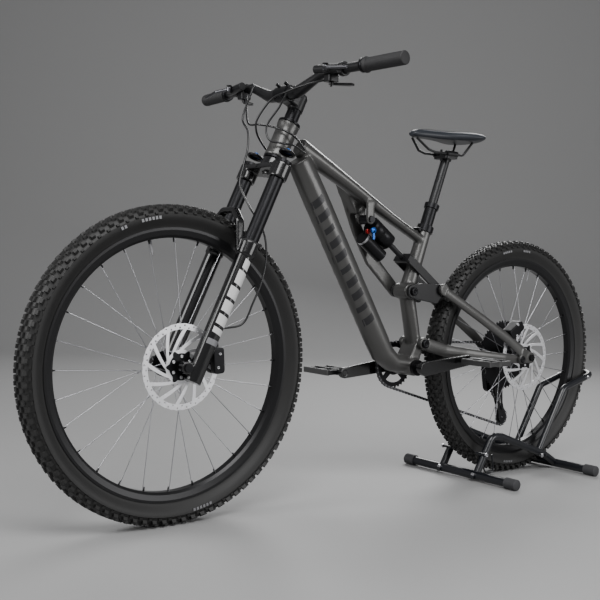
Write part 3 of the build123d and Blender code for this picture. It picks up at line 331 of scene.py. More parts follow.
def ringTree():
    tree, start, end = newTree("ringRepeat", [("Count", "Int"), ("Centre", "Vector")])
    points = tree.nodes.new("GeometryNodePoints")
    index = tree.nodes.new("GeometryNodeInputIndex")
    share = tree.nodes.new("ShaderNodeMath")
    share.operation = "DIVIDE"
    turn = tree.nodes.new("ShaderNodeMath")
    turn.operation = "MULTIPLY"
    turn.inputs[1].default_value = 2 * math.pi
    spin = tree.nodes.new("ShaderNodeCombineXYZ")
    copies = tree.nodes.new("GeometryNodeInstanceOnPoints")
    real = tree.nodes.new("GeometryNodeRealizeInstances")
    move = tree.nodes.new("GeometryNodeTransform")
    link = tree.links.new
    link(start.outputs["Count"], points.inputs["Count"])
    link(index.outputs[0], share.inputs[0])
    link(start.outputs["Count"], share.inputs[1])
    link(share.outputs[0], turn.inputs[0])
    link(turn.outputs[0], spin.inputs["Y"])
    link(points.outputs[0], copies.inputs["Points"])
    link(start.outputs["Geometry"], copies.inputs["Instance"])
    link(spin.outputs[0], copies.inputs["Rotation"])
    link(copies.outputs[0], real.inputs["Geometry"])
    link(real.outputs[0], move.inputs["Geometry"])
    link(start.outputs["Centre"], move.inputs["Translation"])
    return paintedEnd(tree, start, end, move.outputs[0])


trees = {"tube": tubeTree(), "ring": ringTree()}


def withTree(obj, tree, **values):
    modifier = obj.modifiers.new("shape", "NODES")
    modifier.node_group = trees[tree]
    for item in trees[tree].interface.items_tree:
        if item.item_type == "SOCKET" and item.in_out == "INPUT" and item.name in values:
            modifier[item.identifier] = values[item.name]
    obj.data.update()
    return settle(obj)


def tube(name, points, radius, material):
    line = meshObject(name, points, [], material)
    mesh = bpy.data.meshes.new(name)
    mesh.from_pydata([tuple(p) for p in points], [(i, i + 1) for i in range(len(points) - 1)], [])
    line.data = mesh
    return withTree(line, "tube", Radius=radius * mm, Material=looks[material])


def ringOf(unit, count, centre, material):
    return withTree(unit, "ring", Count=count, Centre=tuple(centre), Material=looks[material])


def block(name, size, centre, material, turn=None, taper=1.0):
    sx, sy, sz = (s / 2 for s in size)
    corners = [Vector((x * sx * (taper if z > 0 else 1), y * sy * (taper if z > 0 else 1), z * sz))
               for z in (-1, 1) for y in (-1, 1) for x in (-1, 1)]
    if turn is not None:
        corners = [turn @ c for c in corners]
    verts = [(Vector(centre) + c) * mm for c in corners]
    faces = [(0, 2, 3, 1), (4, 5, 7, 6), (0, 1, 5, 4), (2, 6, 7, 3), (0, 4, 6, 2), (1, 3, 7, 5)]
    return meshObject(name, verts, faces, material, smooth=False)


def plate(name, outline, holes, thickness, centre, material, bevel=0.0):
    curve = bpy.data.curves.new(name, "CURVE")
    curve.dimensions = "2D"
    curve.fill_mode = "BOTH"
    curve.extrude = max(thickness / 2 - bevel, 0) * mm
    curve.bevel_depth = bevel * mm
    curve.bevel_resolution = 1
    for ring in [outline] + list(holes):
        spline = curve.splines.new("POLY")
        spline.points.add(len(ring) - 1)
        for p, (x, z) in zip(spline.points, ring):
            p.co = (x * mm, z * mm, 0, 1)
        spline.use_cyclic_u = True
    curve.materials.append(looks[material])
    obj = bpy.data.objects.new(name, curve)
    obj.matrix_world = Matrix.Translation(Vector(centre)) @ Matrix.Rotation(math.radians(90), 4, "X")
    bpy.context.scene.collection.objects.link(obj)
    bpy.context.view_layer.update()
    return settle(obj)


def circle(radius, count=48, cx=0.0, cz=0.0):
    return [(cx + radius * math.cos(2 * math.pi * i / count), cz + radius * math.sin(2 * math.pi * i / count))
            for i in range(count)]


def polar(r, t):
    return (r * math.cos(t), r * math.sin(t))


def toothed(teeth, pitchR, depth=3.4):
    ring = []
    for i in range(teeth):
        step = 2 * math.pi / teeth
        for share, r in ((0.0, -depth * 0.8), (0.22, -depth * 0.55), (0.4, depth * 0.6), (0.6, depth * 0.6),
                         (0.78, -depth * 0.55)):
            angle = step * (i + share)
            ring.append(polar(pitchR + r, angle))
    return ring


def skin(name, sources, material, voxel, smooth, factor=0.5):
    verts, faces = [], []
    for node in sources:
        base = len(verts)
        mesh = cadNodes[node].data
        verts += [v.co.copy() for v in mesh.vertices]
        faces += [[base + i for i in p.vertices] for p in mesh.polygons]
    obj = meshObject(name, verts, faces, material)
    remesh = obj.modifiers.new("voxels", "REMESH")
    remesh.mode = "VOXEL"
    remesh.voxel_size = voxel * mm * 1.0
    remesh.use_smooth_shade = True
    relax = obj.modifiers.new("relax", "SMOOTH")
    relax.factor = factor
    relax.iterations = smooth
    bpy.context.view_layer.update()
    made = settle(obj)
    made.data.materials.clear()
    made.data.materials.append(looks[material])
    made.data.polygons.foreach_set("use_smooth", [True] * len(made.data.polygons))
    print("skin", name, len(made.data.polygons))
    return made


def paint(slotLook, *names):
    for n in names:
        node = cadNodes[n]
        node.data.materials.clear()
        node.data.materials.append(looks[slotLook])


# CAD nodes that keep their own shape
paint("standPaint", "stand_foot_bars", "stand_side_arches", "stand_wheel_loop")
paint("standPaint", "stand_fittings")
paint("blackAnodised", "rear_axle", "front_axle")
paint("blackAnodised", "frame_hardware", "stem_hardware", "dropper_outer", "stanchions", "front_hub",
      "rear_hub")
paint("blackSatin", "dropper_inner")
paint("blackSatin", "saddle_rails")
paint("rimBlack", "front_rim", "rear_rim")
paint("spokeSteel", "front_spokes", "rear_spokes")
paint("blackSatin", "shock_shaft")
paint("blackAnodised", "shock_can")
paint("pedalMetal", "left_pedal", "right_pedal")
paint("blackSatin", "shift_paddle", "dropper_paddle")
print("stage: CAD finishes")

# Frame, stays and rocker
frameTubes = ["head_tube", "top_tube", "down_tube", "seat_tube", "bottom_bracket_shell", "side_arm"]
mainSkin = piece(skin("mainFrame", frameTubes, "framePaint", 2.6, 14), "bike_frame", frameTubes)
lowerSkin = piece(skin("lowerStays", ["chainstays"], "framePaint", 1.8, 6), "lower_stays",
                  ["chainstays"])
piece(skin("upperStays", ["seatstays"], "framePaint", 1.8, 6), "upper_stays",
                  ["seatstays"])
piece(skin("rockerLink", ["rocker_link"], "blackSatin", 1.2, 4), "rocker",
                   ["rocker_link"])
print("stage: frame skins")

# Fork
lowersSkin = piece(skin("forkLowers", ["fork_lowers"], "blackGloss", 1.6, 5), "fork_slider",
                   ["fork_lowers"])
piece(skin("forkCrown", ["fork_crown"], "blackGloss", 1.4, 14), "steering", ["fork_crown"])
forkSizes = {"legY": 67, "legAhead": 14, "capTop": 581, "sealAt": 331}
for side, label in ((1, "left"), (-1, "right")):
    cap = onFork(forkSizes["capTop"], forkSizes["legAhead"], side * forkSizes["legY"])
    rimLine = [(-8, 17), (-8, 20.4), (-3.0, 20.4), (-1.6, 19), (-1.6, 12), (-2.6, 11), (-2.6, 0.1)]
    knobLine = [(-3, 11), (1, 11), (2.5, 9.5), (2.5, 6), (5, 6), (5.5, 5), (5.5, 0.1)]
    rim = lathe(label + "CapRing", rimLine, cap, steerAxis, "blackAnodised", 48)
    knob = lathe(label + "CapKnob", knobLine, cap, steerAxis, "blueAnodised", 24, smooth=False)
    piece(joined(label + "ForkCap", [rim, knob]), "steering")
    seal = onFork(forkSizes["sealAt"], forkSizes["legAhead"], side * forkSizes["legY"])
    sealLine = [(-1, 22.6), (2, 22.6), (5, 20.5), (6.5, 18.15), (-1, 18.15)]
    piece(lathe(label + "WiperSeal", sealLine, seal, steerAxis, "matteBlack", 48), "fork_slider")
print("stage: fork")

# Cockpit
piece(skin("stemBody", ["stem"], "blackSatin", 1.2, 4), "steering", ["stem"])
for name, node in (("brakeMasters", "brake_masters"), ("controlPods", "control_bodies")):
    piece(skin(name, [node], "blackSatin", 1.0, 3), "steering", [node])
for side in ("left", "right"):
    node = side + "_brake_lever"
    piece(skin(side + "BrakeBlade", [node], "darkSilver", 0.8, 3), side + "_lever", [node])
barSizes = {"along": 732, "ahead": 45, "back": 24, "rise": 34, "thick": 15.9, "thin": 11.1}


def taperedTube(name, points, radii, material, steps=32):
    verts, faces = [], []
    for i, (p, r) in enumerate(zip(points, radii)):
        tangent = (points[min(i + 1, len(points) - 1)] - points[max(i - 1, 0)]).normalized()
        side = tangent.cross(Vector((0, 0, 1))).normalized()
        rise = side.cross(tangent)
        for k in range(steps):
            t = 2 * math.pi * k / steps
            verts.append(p + (side * math.cos(t) + rise * math.sin(t)) * r * mm)
    for i in range(len(points) - 1):
        for k in range(steps):
            a, b = i * steps + k, i * steps + (k + 1) % steps
            faces.append([a, b, b + steps, a + steps])
    faces += [list(range(steps))[::-1], [len(verts) - steps + k for k in range(steps)]]
    return meshObject(name, verts, faces, material)


barCentre = onFork(barSizes["along"], barSizes["ahead"])
barBack, barRise = barSizes["back"] * mm, barSizes["rise"] * mm
stations = ((-400, 1, 1), (-275, 0.6, 1), (-185, 0.32, 1), (-150, 0.22, 0.98), (-105, 0.1, 0.52), (-62, 0, 0.05),
            (-40, 0, 0), (0, 0, 0))
stations += tuple((-y, back, rise) for y, back, rise in stations[-2::-1])
barLine = rounded([barCentre + Vector((-barBack * back, y * mm, barRise * rise))
                   for y, back, rise in stations], 6)
barSwell = barSizes["thick"] - barSizes["thin"]
barRadii = [barSizes["thin"] + barSwell * max(0, min(1, (125 - abs(p.y) / mm) / 80)) for p in barLine]
piece(taperedTube("riserBar", barLine, barRadii, "blackSatin"), "steering", ["handlebar"])
gripSizes = {"radius": 15.2, "rib": 0.8, "pitch": 4.0}
gripLow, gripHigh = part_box("grips")
for side, label in ((1, "left"), (-1, "right")):
    ys = gripHigh.y if side > 0 else gripLow.y
    mesh = cadNodes["grips"].data
    endVerts = [v.co for v in mesh.vertices if abs(v.co.y - ys) < 0.003]
    startVerts = [v.co for v in mesh.vertices if v.co.y * side > 0 and abs(v.co.y) < abs(ys) - 0.125]
    end = sum(endVerts, Vector()) / len(endVerts)
    start = sum(startVerts, Vector()) / len(startVerts)
    inward = (start - end).normalized()
    profile = [(0, 0.1), (0, 13), (1, 15.5), (4, 15.9), (5, 15.2)]
    a = 5.0
    while a < 108:
        profile += [(a + 0.4, gripSizes["radius"]), (a + 1.0, gripSizes["radius"] + gripSizes["rib"]),
                    (a + 2.6, gripSizes["radius"] + gripSizes["rib"]), (a + 3.2, gripSizes["radius"])]
        a += gripSizes["pitch"]
    profile += [(112, 15.4), (116, 18.6), (118, 18.6), (120, 15.4)]
    sleeve = lathe(label + "GripSleeve", profile, end, inward, "gripRubber", 56)
    collarLine = [(120, 15.4), (121, 17), (130, 17), (131, 16), (131, 11.2)]
    collar = lathe(label + "GripCollar", collarLine, end, inward, "blackAnodised", 40)
    piece(joined(label + "Grip", [sleeve, collar]), "steering",
          ["grips"] if side > 0 else ())
print("stage: cockpit")

# Saddle


def projected(points, direction, onto, lift):
    tree = BVHTree.FromPolygons([v.co.copy() for v in onto.data.vertices],
                                [list(p.vertices) for p in onto.data.polygons])
    direction = Vector(direction).normalized()
    out = []
    for p in points:
        hit, normal, _, _ = tree.ray_cast(Vector(p) - direction * 0.3, direction)
        out.append(None if hit is None else hit + normal * lift * mm)
    return out


saddleSkin = skin("saddlePad", ["saddle"], "saddleCover", 2.0, 10)
piece(saddleSkin, "seatpost", ["saddle"])
seamSizes = {"xs": (222, 250, 290, 330, 370, 405, 432), "half": (46, 45, 30, 19, 13, 10, 7), "radius": 0.8}
for side, label in ((1, "left"), (-1, "right")):
    line = [at(x, 985, side * h) for x, h in zip(seamSizes["xs"], seamSizes["half"])]
    line = rounded(line, 6)
    found = [p for p in projected(line, (0, 0, -1), saddleSkin, 0.1) if p is not None]
    if len(found) > 3:
        piece(tube(label + "SaddleSeam", found, seamSizes["radius"], "matteBlack"), "seatpost")
print("stage: saddle")

# Tyres
tyreSizes = {"front": (372, 64, 295, 88), "rear": (351, 60, 274, 84)}


def knobUnit(name, radius, step, y, size, lean, shift):
    angle = step * shift
    turn = Matrix.Rotation(angle, 3, "Y") @ Matrix.Rotation(-lean if y > 0 else lean, 3, "X")
    centre = Matrix.Rotation(angle, 3, "Y") @ Vector((0, y, radius))
    return block(name, size, centre, "tyreRubber", turn, 0.8)


def tyreMesh(label, centre, radius, width, rimR, count):
    seat, half = rimR + 24, width / 2
    crown = radius - 4.5
    wall = [(-15.5, seat - 3), (-17, seat + 4), (-half + 4, seat + 20), (-half + 1.5, seat + 30),
            (-half + 2.5, crown - 17), (-half + 8, crown - 7), (-half * 0.5, crown - 1.5)]
    profile = wall + [(0, crown)] + [(-a, r) for a, r in wall[::-1]]
    line = rounded([Vector((a, r, 0)) for a, r in profile], 3)
    carcass = lathe(label + "Carcass", [(p.x, p.y) for p in line], centre, (0, 1, 0), "tyreRubber", 160)
    step = 2 * math.pi / count
    rows = []
    for row, (y, size, lean, shift, drop) in {
            "centre": (6.2, (13, 9, 6), 0.05, 0.0, 0), "middle": (17.5, (11, 8, 6.5), 0.3, 0.45, 1.5),
            "shoulder": (half - 5.2, (12, 9.5, 8), 0.72, 0.0, 7.5),
            "side": (half - 2.6, (9, 5, 7), 1.25, 0.5, 16)}.items():
        for side, turned in ((1, shift), (-1, (shift + 0.5) % 1)):
            unit = knobUnit(label + row, radius - 2.8 - drop, step, side * y, size, lean, turned)
            rows.append(ringOf(unit, count, centre, "tyreRubber"))
    return joined(label + "Tyre", [carcass] + rows)


for label, centre, body in (("front", frontAxle, "front_wheel"), ("rear", rearAxle, "rear_wheel")):
    radius, width, rimR, count = tyreSizes[label]
    piece(tyreMesh(label, centre, radius, width, rimR, count), body, [label + "_tyre"])
print("stage: tyres")

# Sidewall marks, nipples, valves, rotors


def arcPatch(name, centre, side, inner, outer, middle, sweep, y0, y1, material):
    verts, faces, steps = [], [], 14
    for i in range(steps + 1):
        turn = math.radians(middle - sweep / 2 + sweep * i / steps)
        out = Vector((math.cos(turn), 0, math.sin(turn)))
        verts += [Vector(centre) + out * inner * mm + Vector((0, side * y0 * mm, 0)),
                  Vector(centre) + out * outer * mm + Vector((0, side * y1 * mm, 0))]
        if i:
            k = 2 * i
            faces.append([k - 2, k - 1, k + 1, k])
    return meshObject(name, verts, faces, material)


markSizes = {"front": (340, 347, 31.6), "rear": (318, 324, 29.6)}
for label, centre, body, places in (("front", frontAxle, "front_wheel", ((78, 9), (66, 3), (-102, 9))),
                                    ("rear", rearAxle, "rear_wheel", ((96, 7), (80, 8), (-84, 8)))):
    inner, outer, y = markSizes[label]
    marks = []
    for i, (middle, sweep) in enumerate(places):
        for j in range(int(sweep / 1.5)):
            marks.append(arcPatch(f"{label}Mark{i}x{j}", centre, 1, inner, outer,
                                  middle - sweep / 2 + 1.5 * j, 1.0, y, y - 0.3, "decalGrey"))
    piece(joined(label + "SidewallMarks", marks), body)
    rimR = tyreSizes[label][2]
    cone = lathe(label + "Nipple", [(-1, 0.1), (-1, 2.0), (4, 2.6), (11, 1.6), (11, 0.1)], (0, 0, 0), (0, 0, 1),
                 "blackSatin", 8)
    for v in cone.data.vertices:
        v.co = Vector((v.co.x, v.co.y, rimR * mm + 0.0012 - v.co.z))
    piece(ringOf(cone, 28, centre, "blackSatin"), body)
    valveAt = math.radians(78 if label == "front" else 106)
    out = Vector((math.cos(valveAt), 0, math.sin(valveAt)))
    piece(lathe(label + "Valve", [(0, 3), (3, 3), (3, 2.4), (30, 2.4), (32, 1.6), (38, 1.6), (38, 0.1)],
                Vector(centre) + out * (rimR + 2) * mm, -out, "boltSteel", 12), body)


rotorSizes = {"arms": 12, "inner": 40, "outer": 86.5, "swirl": 0.62, "web": 0.105, "radius": 100, "wave": 0.9,
              "hole": 2.3, "thick": 1.8}


def windowEdge(start, side):
    inner, outer = rotorSizes["inner"], rotorSizes["outer"]
    edge = []
    for k in range(9):
        r = inner + (outer - inner) * k / 8
        lag = rotorSizes["swirl"] * (1 - inner / r) / (1 - inner / outer)
        edge.append((r, start + lag + side * rotorSizes["web"] * 38 / r * 1.2))
    return edge


def rotorMesh(label, centre, y):
    windows, holes = [], []
    step = 2 * math.pi / rotorSizes["arms"]
    for i in range(rotorSizes["arms"]):
        a0, a1 = step * i, step * (i + 1)
        rim = [(rotorSizes["outer"], a0 + rotorSizes["swirl"] + step * s) for s in (0.35, 0.65)]
        windows.append([polar(*p) for p in windowEdge(a0, 1) + rim + windowEdge(a1, -1)[::-1]])
        for r, off in ((95.4, 0.08), (90.0, 0.21), (95.4, 0.34), (90.0, 0.47)):
            holes.append(circle(rotorSizes["hole"], 10, *polar(r, a0 + off)))
    turns = [2 * math.pi * i / 216 for i in range(216)]
    wave = [polar(rotorSizes["radius"] - rotorSizes["wave"] * (1 + math.cos(36 * t)) / 2, t) for t in turns]
    place = Vector(centre) + Vector((0, y * mm, 0))
    band = plate(label + "RotorBand", wave, windows + holes + [circle(24)],
                 rotorSizes["thick"], place, "rotorSteel", 0.2)
    spider = []
    for i in range(144):
        t = 2 * math.pi * i / 144
        spider.append(polar(31 + 8.5 * max(0, math.cos(6 * t)) ** 2, t))
    face = plate(label + "RotorSpider", spider, [circle(17.6)], 1.6, place + Vector((0, 1.6 * mm, 0)),
                 "blackAnodised", 0.3)
    bolts = []
    for i in range(6):
        t = 2 * math.pi * (i + 0.5) / 6
        spot = place + Vector((24 * math.cos(t) * mm, 2.2 * mm, 24 * math.sin(t) * mm))
        boltLine = [(0, 4), (1.4, 4), (2, 3.2), (2, 1.6), (0.9, 1.4), (0.9, 0.1)]
        bolts.append(lathe(f"{label}RotorBolt{i}", boltLine, spot, (0, 1, 0), "boltSteel", 12))
    return joined(label + "BrakeDisc", [band, face] + bolts)


for label, centre, body in (("front", frontAxle, "front_wheel"), ("rear", rearAxle, "rear_wheel")):
    low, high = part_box(label + "_rotor")
    piece(rotorMesh(label, centre, (low.y + high.y) / 2 / mm), body, [label + "_rotor"])
print("stage: wheels")

# Cassette, chainring, chain
cogSizes = {"teeth": (10, 12, 14, 16, 18, 21, 24, 28, 32, 38, 44, 52), "pitch": 3.3, "thick": 1.8, "first": -66,
            "chainOn": 4, "link": 12.7}


def pitchRadius(teeth):
    return cogSizes["link"] / 2 / math.sin(math.pi / teeth)


cogs = []
for i, teeth in enumerate(cogSizes["teeth"]):
    radius = pitchRadius(teeth)
    holes = [circle(15.5, 32)]
    if teeth >= 28:
        for k in range(8):
            t = 2 * math.pi * (k + 0.3 * i) / 8
            holes.append(circle(min(6.5, (radius - 24) * 0.35), 14, *polar(radius - 12, t)))
    spot = rearAxle + Vector((0, (cogSizes["first"] + cogSizes["pitch"] * i + cogSizes["thick"] / 2) * mm, 0))
    cogs.append(plate(f"cog{teeth}", toothed(teeth, radius - 0.8), holes, cogSizes["thick"], spot,
                      "blackAnodised" if teeth == 52 else "cogSteel", 0.15))
core = lathe("cassetteCore", [(-70, 11), (-70, 16.5), (-66, 17), (-27, 17), (-27, 11)], rearAxle, (0, 1, 0),
             "blackAnodised", 40)
piece(joined("cassetteStack", cogs + [core]), "freewheel", ["cassette"])

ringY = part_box("chainring")[0].y / mm + 1.5
ringR = pitchRadius(32)
windows = []
for i in range(4):
    ring = []
    for k in range(9):
        t = math.radians(90 * i + 53 + 74 * k / 8)
        ring.append(polar(ringR - 14, t))
    for k in range(8, -1, -1):
        t = math.radians(90 * i + 62 + 56 * k / 8)
        ring.append(polar(29, t))
    windows.append(ring)
ringPlate = plate("chainwheel", toothed(32, ringR - 0.8), windows + [circle(21, 32)], 2.6,
                  crankAxle + Vector((0, ringY * mm, 0)), "blackAnodised", 0.3)
piece(ringPlate, "cranks", ["chainring"])
piece(skin("crankArms", ["crank_set"], "blackGloss", 1.2, 4), "cranks", ["crank_set"])


def beltLine(wheels):
    spans = []
    for (c0, r0), (c1, r1) in zip(wheels, wheels[1:] + wheels[:1]):
        d = (c1[0] - c0[0], c1[1] - c0[1])
        length = math.hypot(*d)
        base = math.atan2(d[1], d[0])
        a = base + math.acos((r0 - r1) / length)
        spans.append(((c0[0] + r0 * math.cos(a), c0[1] + r0 * math.sin(a)),
                      (c1[0] + r1 * math.cos(a), c1[1] + r1 * math.sin(a))))
    line = []
    for i, (leave, meet) in enumerate(spans):
        n = max(2, int(math.hypot(meet[0] - leave[0], meet[1] - leave[1]) / 1.0))
        line += [(leave[0] + (meet[0] - leave[0]) * k / n, leave[1] + (meet[1] - leave[1]) * k / n)
                 for k in range(n)]
        (cx, cz), r = wheels[(i + 1) % len(wheels)]
        away = spans[(i + 1) % len(wheels)][0]
        a0, a1 = math.atan2(meet[1] - cz, meet[0] - cx), math.atan2(away[1] - cz, away[0] - cx)
        spin = -((a0 - a1) % (2 * math.pi)) if r > 0 else (a1 - a0) % (2 * math.pi)
        n = max(2, int(abs(spin * r) / 1.0))
        line += [(cx + abs(r) * math.cos(a0 + spin * k / n), cz + abs(r) * math.sin(a0 + spin * k / n))
                 for k in range(n)]
    return line


def flat(point):
    return ((point.x - rearAxle.x) / mm, point.z / mm)


wheels = [(flat(crankAxle), pitchRadius(32)), (flat(tensionAxle), pitchRadius(12)),
          (flat(guideAxle), -pitchRadius(12)), (flat(rearAxle), pitchRadius(18))]
line = beltLine(wheels)
lengths = [0.0]
for p, q in zip(line, line[1:] + line[:1]):
    lengths.append(lengths[-1] + math.hypot(q[0] - p[0], q[1] - p[1]))
linkCount = 2 * round(lengths[-1] / cogSizes["link"] / 2)
chainY = -52


def along(s):
    s %= lengths[-1]
    lo, hi = 0, len(line)
    while hi - lo > 1:
        mid = (lo + hi) // 2
        if lengths[mid] <= s:
            lo = mid
        else:
            hi = mid
    p, q = line[lo % len(line)], line[(lo + 1) % len(line)]
    t = (s - lengths[lo]) / max(lengths[lo + 1] - lengths[lo], 1e-9)
    return (p[0] + (q[0] - p[0]) * t, p[1] + (q[1] - p[1]) * t)


def linkPlates(i, a, b):
    outer = i % 2 == 0
    mid = at((a[0] + b[0]) / 2, (a[1] + b[1]) / 2, chainY)
    angle = math.atan2(b[1] - a[1], b[0] - a[0])
    span = math.hypot(b[0] - a[0], b[1] - a[1]) / 2
    outline = []
    for k in range(13):
        t = -math.pi / 2 + math.pi * k / 12
        outline.append((span + 3.9 * math.cos(t), 3.9 * math.sin(t)))
    outline += [(0, 2.9)]
    for k in range(13):
        t = math.pi / 2 + math.pi * k / 12
        outline.append((-span + 3.9 * math.cos(t), 3.9 * math.sin(t)))
    outline += [(0, -2.9)]
    turned = [(x * math.cos(angle) - z * math.sin(angle), x * math.sin(angle) + z * math.cos(angle))
              for x, z in outline]
    made = []
    verts, faces, n = [], [], len(turned)
    for y0, y1 in (((1.75, 2.6), (-2.6, -1.75)) if outer else ((0.95, 1.7), (-1.7, -0.95))):
        base = len(verts)
        verts += [mid + Vector((x * mm, y0 * mm, z * mm)) for x, z in turned]
        verts += [mid + Vector((x * mm, y1 * mm, z * mm)) for x, z in turned]
        faces += [[base + k for k in range(n)], [base + n + k for k in range(n)][::-1]]
        faces += [[base + k, base + n + k, base + n + (k + 1) % n, base + (k + 1) % n] for k in range(n)]
    made.append(meshObject(f"link{i}", verts, faces, "chainSteel", smooth=False))
    pin = at(a[0], a[1], chainY - 3.0)
    made.append(lathe(f"pin{i}", [(0, 0.1), (0, 1.7), (6, 1.7), (6, 0.1)], pin, (0, 1, 0), "silver", 8))
    made.append(lathe(f"roller{i}", [(2, 0.1), (2, 3.7), (4, 3.7), (4, 0.1)], pin, (0, 1, 0), "chainSteel", 8))
    return made


chainSizes = {"splitX": 150}
frontLinks, rearLinks = [], []
for i in range(linkCount):
    a, b = along(lengths[-1] * i / linkCount), along(lengths[-1] * (i + 1) / linkCount)
    (frontLinks if (a[0] + b[0]) / 2 > chainSizes["splitX"] else rearLinks).extend(linkPlates(i, a, b))
frontChain = joined("chainFront", frontLinks)
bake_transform(frontChain)
rearChain = joined("chainRear", rearLinks)
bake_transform(rearChain)
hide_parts("chain")
for axle, label, body, node in ((guideAxle, "guide", "guide_wheel", "upper_jockey_wheel"),
                                (tensionAxle, "tension", "tension_wheel", "lower_jockey_wheel")):
    holes = [circle(4.2, 16)] + [circle(3.2, 10, *polar(12.5, k * math.pi / 3)) for k in range(6)]
    wheel = plate(label + "Jockey", toothed(12, pitchRadius(12) - 0.8, 3.0), holes, 2.2,
                  Vector((axle.x, chainY * mm, axle.z)), "matteBlack", 0.2)
    piece(wheel, body, [node])


def strap(c0, r0, c1, r1, waist):
    angle = math.atan2(c1[1] - c0[1], c1[0] - c0[0])
    ring = []
    for (cx, cz), r, base in ((c1, r1, angle - math.pi / 2), (c0, r0, angle + math.pi / 2)):
        ring += [(cx + r * math.cos(base + math.pi * k / 16), cz + r * math.sin(base + math.pi * k / 16))
                 for k in range(17)]
        mid = ((c0[0] + c1[0]) / 2, (c0[1] + c1[1]) / 2)
        out = base + math.pi
        ring.append((mid[0] + waist * math.cos(out), mid[1] + waist * math.sin(out)))
    return ring


cageSizes = {"guideR": 18, "tensionR": 15.5, "waist": 11}
tensionFlat = ((tensionAxle.x - guideAxle.x) / mm, (tensionAxle.z - guideAxle.z) / mm)
cageParts = []
for label, y in (("Outer", chainY - 5.4), ("Inner", chainY + 5.4)):
    slot = strap([v * 0.28 for v in tensionFlat], 4.5, [v * 0.72 for v in tensionFlat], 3.8, 3.6)
    cageParts.append(plate("cage" + label, strap((0, 0), cageSizes["guideR"], tensionFlat, cageSizes["tensionR"],
                                                 cageSizes["waist"]),
                           [slot, circle(7.5, 20, 0, 0), circle(6, 20, *tensionFlat)], 2.0,
                           Vector((guideAxle.x, y * mm, guideAxle.z)), "blackSatin", 0.3))
for axle in (guideAxle, tensionAxle):
    cageParts.append(lathe("cageBolt", [(-7.5, 0.05), (-7.5, 3), (-6.4, 4), (7, 4), (7, 0.05)],
                           Vector((axle.x, chainY * mm, axle.z)), (0, 1, 0), "darkSilver", 18))
piece(joined("derailleurCage", cageParts), "derailleur_arm", ["derailleur_cage"])
piece(skin("derailleurKnuckle", ["derailleur_body"], "blackAnodised", 1.0, 3), "upper_stays",
      ["derailleur_body"])
print("stage: drivetrain")

# Calipers
for label, body in (("front", "fork_slider"), ("rear", "upper_stays")):
    shell = skin(label + "CaliperShell", [label + "_caliper"], "blackAnodised", 1.0, 22, factor=0.8)
    low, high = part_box(label + "_caliper")
    mid = (low + high) / 2
    bolts = [lathe(f"{label}CaliperBolt{k}", [(-6, 3.6), (1.5, 3.6), (2, 3), (2, 1.8), (1, 1.6), (1, 0.1)],
                   Vector((mid.x + dx, high.y - 1.0 * mm, mid.z + dz)), (0, 1, 0), "silver", 16)
             for k, (dx, dz) in enumerate(((-0.002, 0.016), (0.002, -0.016)))]
    piece(joined(label + "Caliper", [shell] + bolts), body, [label + "_caliper"])
print("stage: calipers")

# Hoses
hoseSizes = {"radius": 2.5}
rightPort = max((v.co for v in cadNodes["front_brake_hose"].data.vertices if v.co.z > 0.9),
                key=lambda c: -c.y).copy()
leftPort = max((v.co for v in cadNodes["rear_hoses"].data.vertices if v.co.y < 0.128), key=lambda c: c.y).copy()
caliperTop = at(1100, 415.8, 50)
brakeRoute = rounded([rightPort, rightPort + Vector((0.010, 0.034, -0.008)), onFork(656, 78, -92),
                      onFork(620, 66, -62), onFork(575, 56, -46), onFork(530, 52, -39),
                      onFork(475, 48, -25), onFork(430, 22, 10), onFork(385, -24, 40), onFork(330, -48, 58),
                      onFork(270, -58, 66), onFork(210, -58, 67), onFork(152, -54, 64),
                      caliperTop + Vector((0, 0, 0.0382)), caliperTop], 10)
brakeHose = tube("frontBrakeHose", brakeRoute, hoseSizes["radius"], "hoseBlack")
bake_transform(brakeHose)
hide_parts("front_brake_hose")
shiftPort = Vector(joints["shift_push"]["pos_m"]) + Vector((0.008, 0.016, 0.012))
dropPort = Vector(joints["dropper_push"]["pos_m"]) + Vector((0.008, -0.016, 0.012))
routes = (
    [shiftPort, shiftPort + Vector((0.020, 0.034, -0.006)), onFork(652, 60, -90), onFork(646, 52, -50),
     onFork(641, 44, -6), onFork(637, 22, 32), onFork(633, -8, 44), onFork(622, -46, 42)],
    [leftPort, leftPort + Vector((0.006, -0.040, -0.006)), onFork(722, 70, 52), onFork(684, 58, 22),
     onFork(632, 58, 2), onFork(602, 42, 12), onFork(604, 18, 36), onFork(613, -12, 47), onFork(612, -46, 47)],
    [dropPort, dropPort + Vector((0.020, -0.034, -0.006)), onFork(704, 84, 66), onFork(688, 86, 20),
     onFork(640, 82, -12), onFork(616, 66, -22), onFork(606, 32, -38), onFork(598, -10, -48),
     onFork(596, -46, -44)])
controlHoses = joined("controlHoses", [tube(f"route{i}", rounded(r, 10), hoseSizes["radius"], "hoseBlack")
                                       for i, r in enumerate(routes)])
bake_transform(controlHoses)
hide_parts("rear_hoses")
print("stage: hoses")

# Marks on frame and fork: plain shapes only


def surfaceMark(name, corners, onto, direction, material, lift=0.35, cells=(6, 6)):
    nu, nv = cells
    points = []
    a, b, c, d = (Vector(p) for p in corners)
    for i in range(nu + 1):
        for j in range(nv + 1):
            u, v = i / nu, j / nv
            points.append(a * (1 - u) * (1 - v) + b * u * (1 - v) + c * u * v + d * (1 - u) * v)
    found = projected(points, direction, onto, lift)
    index, kept = {}, []
    for k, v in enumerate(found):
        if v is not None:
            index[k] = len(kept)
            kept.append(v)
    faces = []
    for i in range(nu):
        for j in range(nv):
            q = [i * (nv + 1) + j, (i + 1) * (nv + 1) + j, (i + 1) * (nv + 1) + j + 1, i * (nv + 1) + j + 1]
            if all(k in index for k in q):
                faces.append([index[k] for k in q])
    return meshObject(name, kept, faces, material)


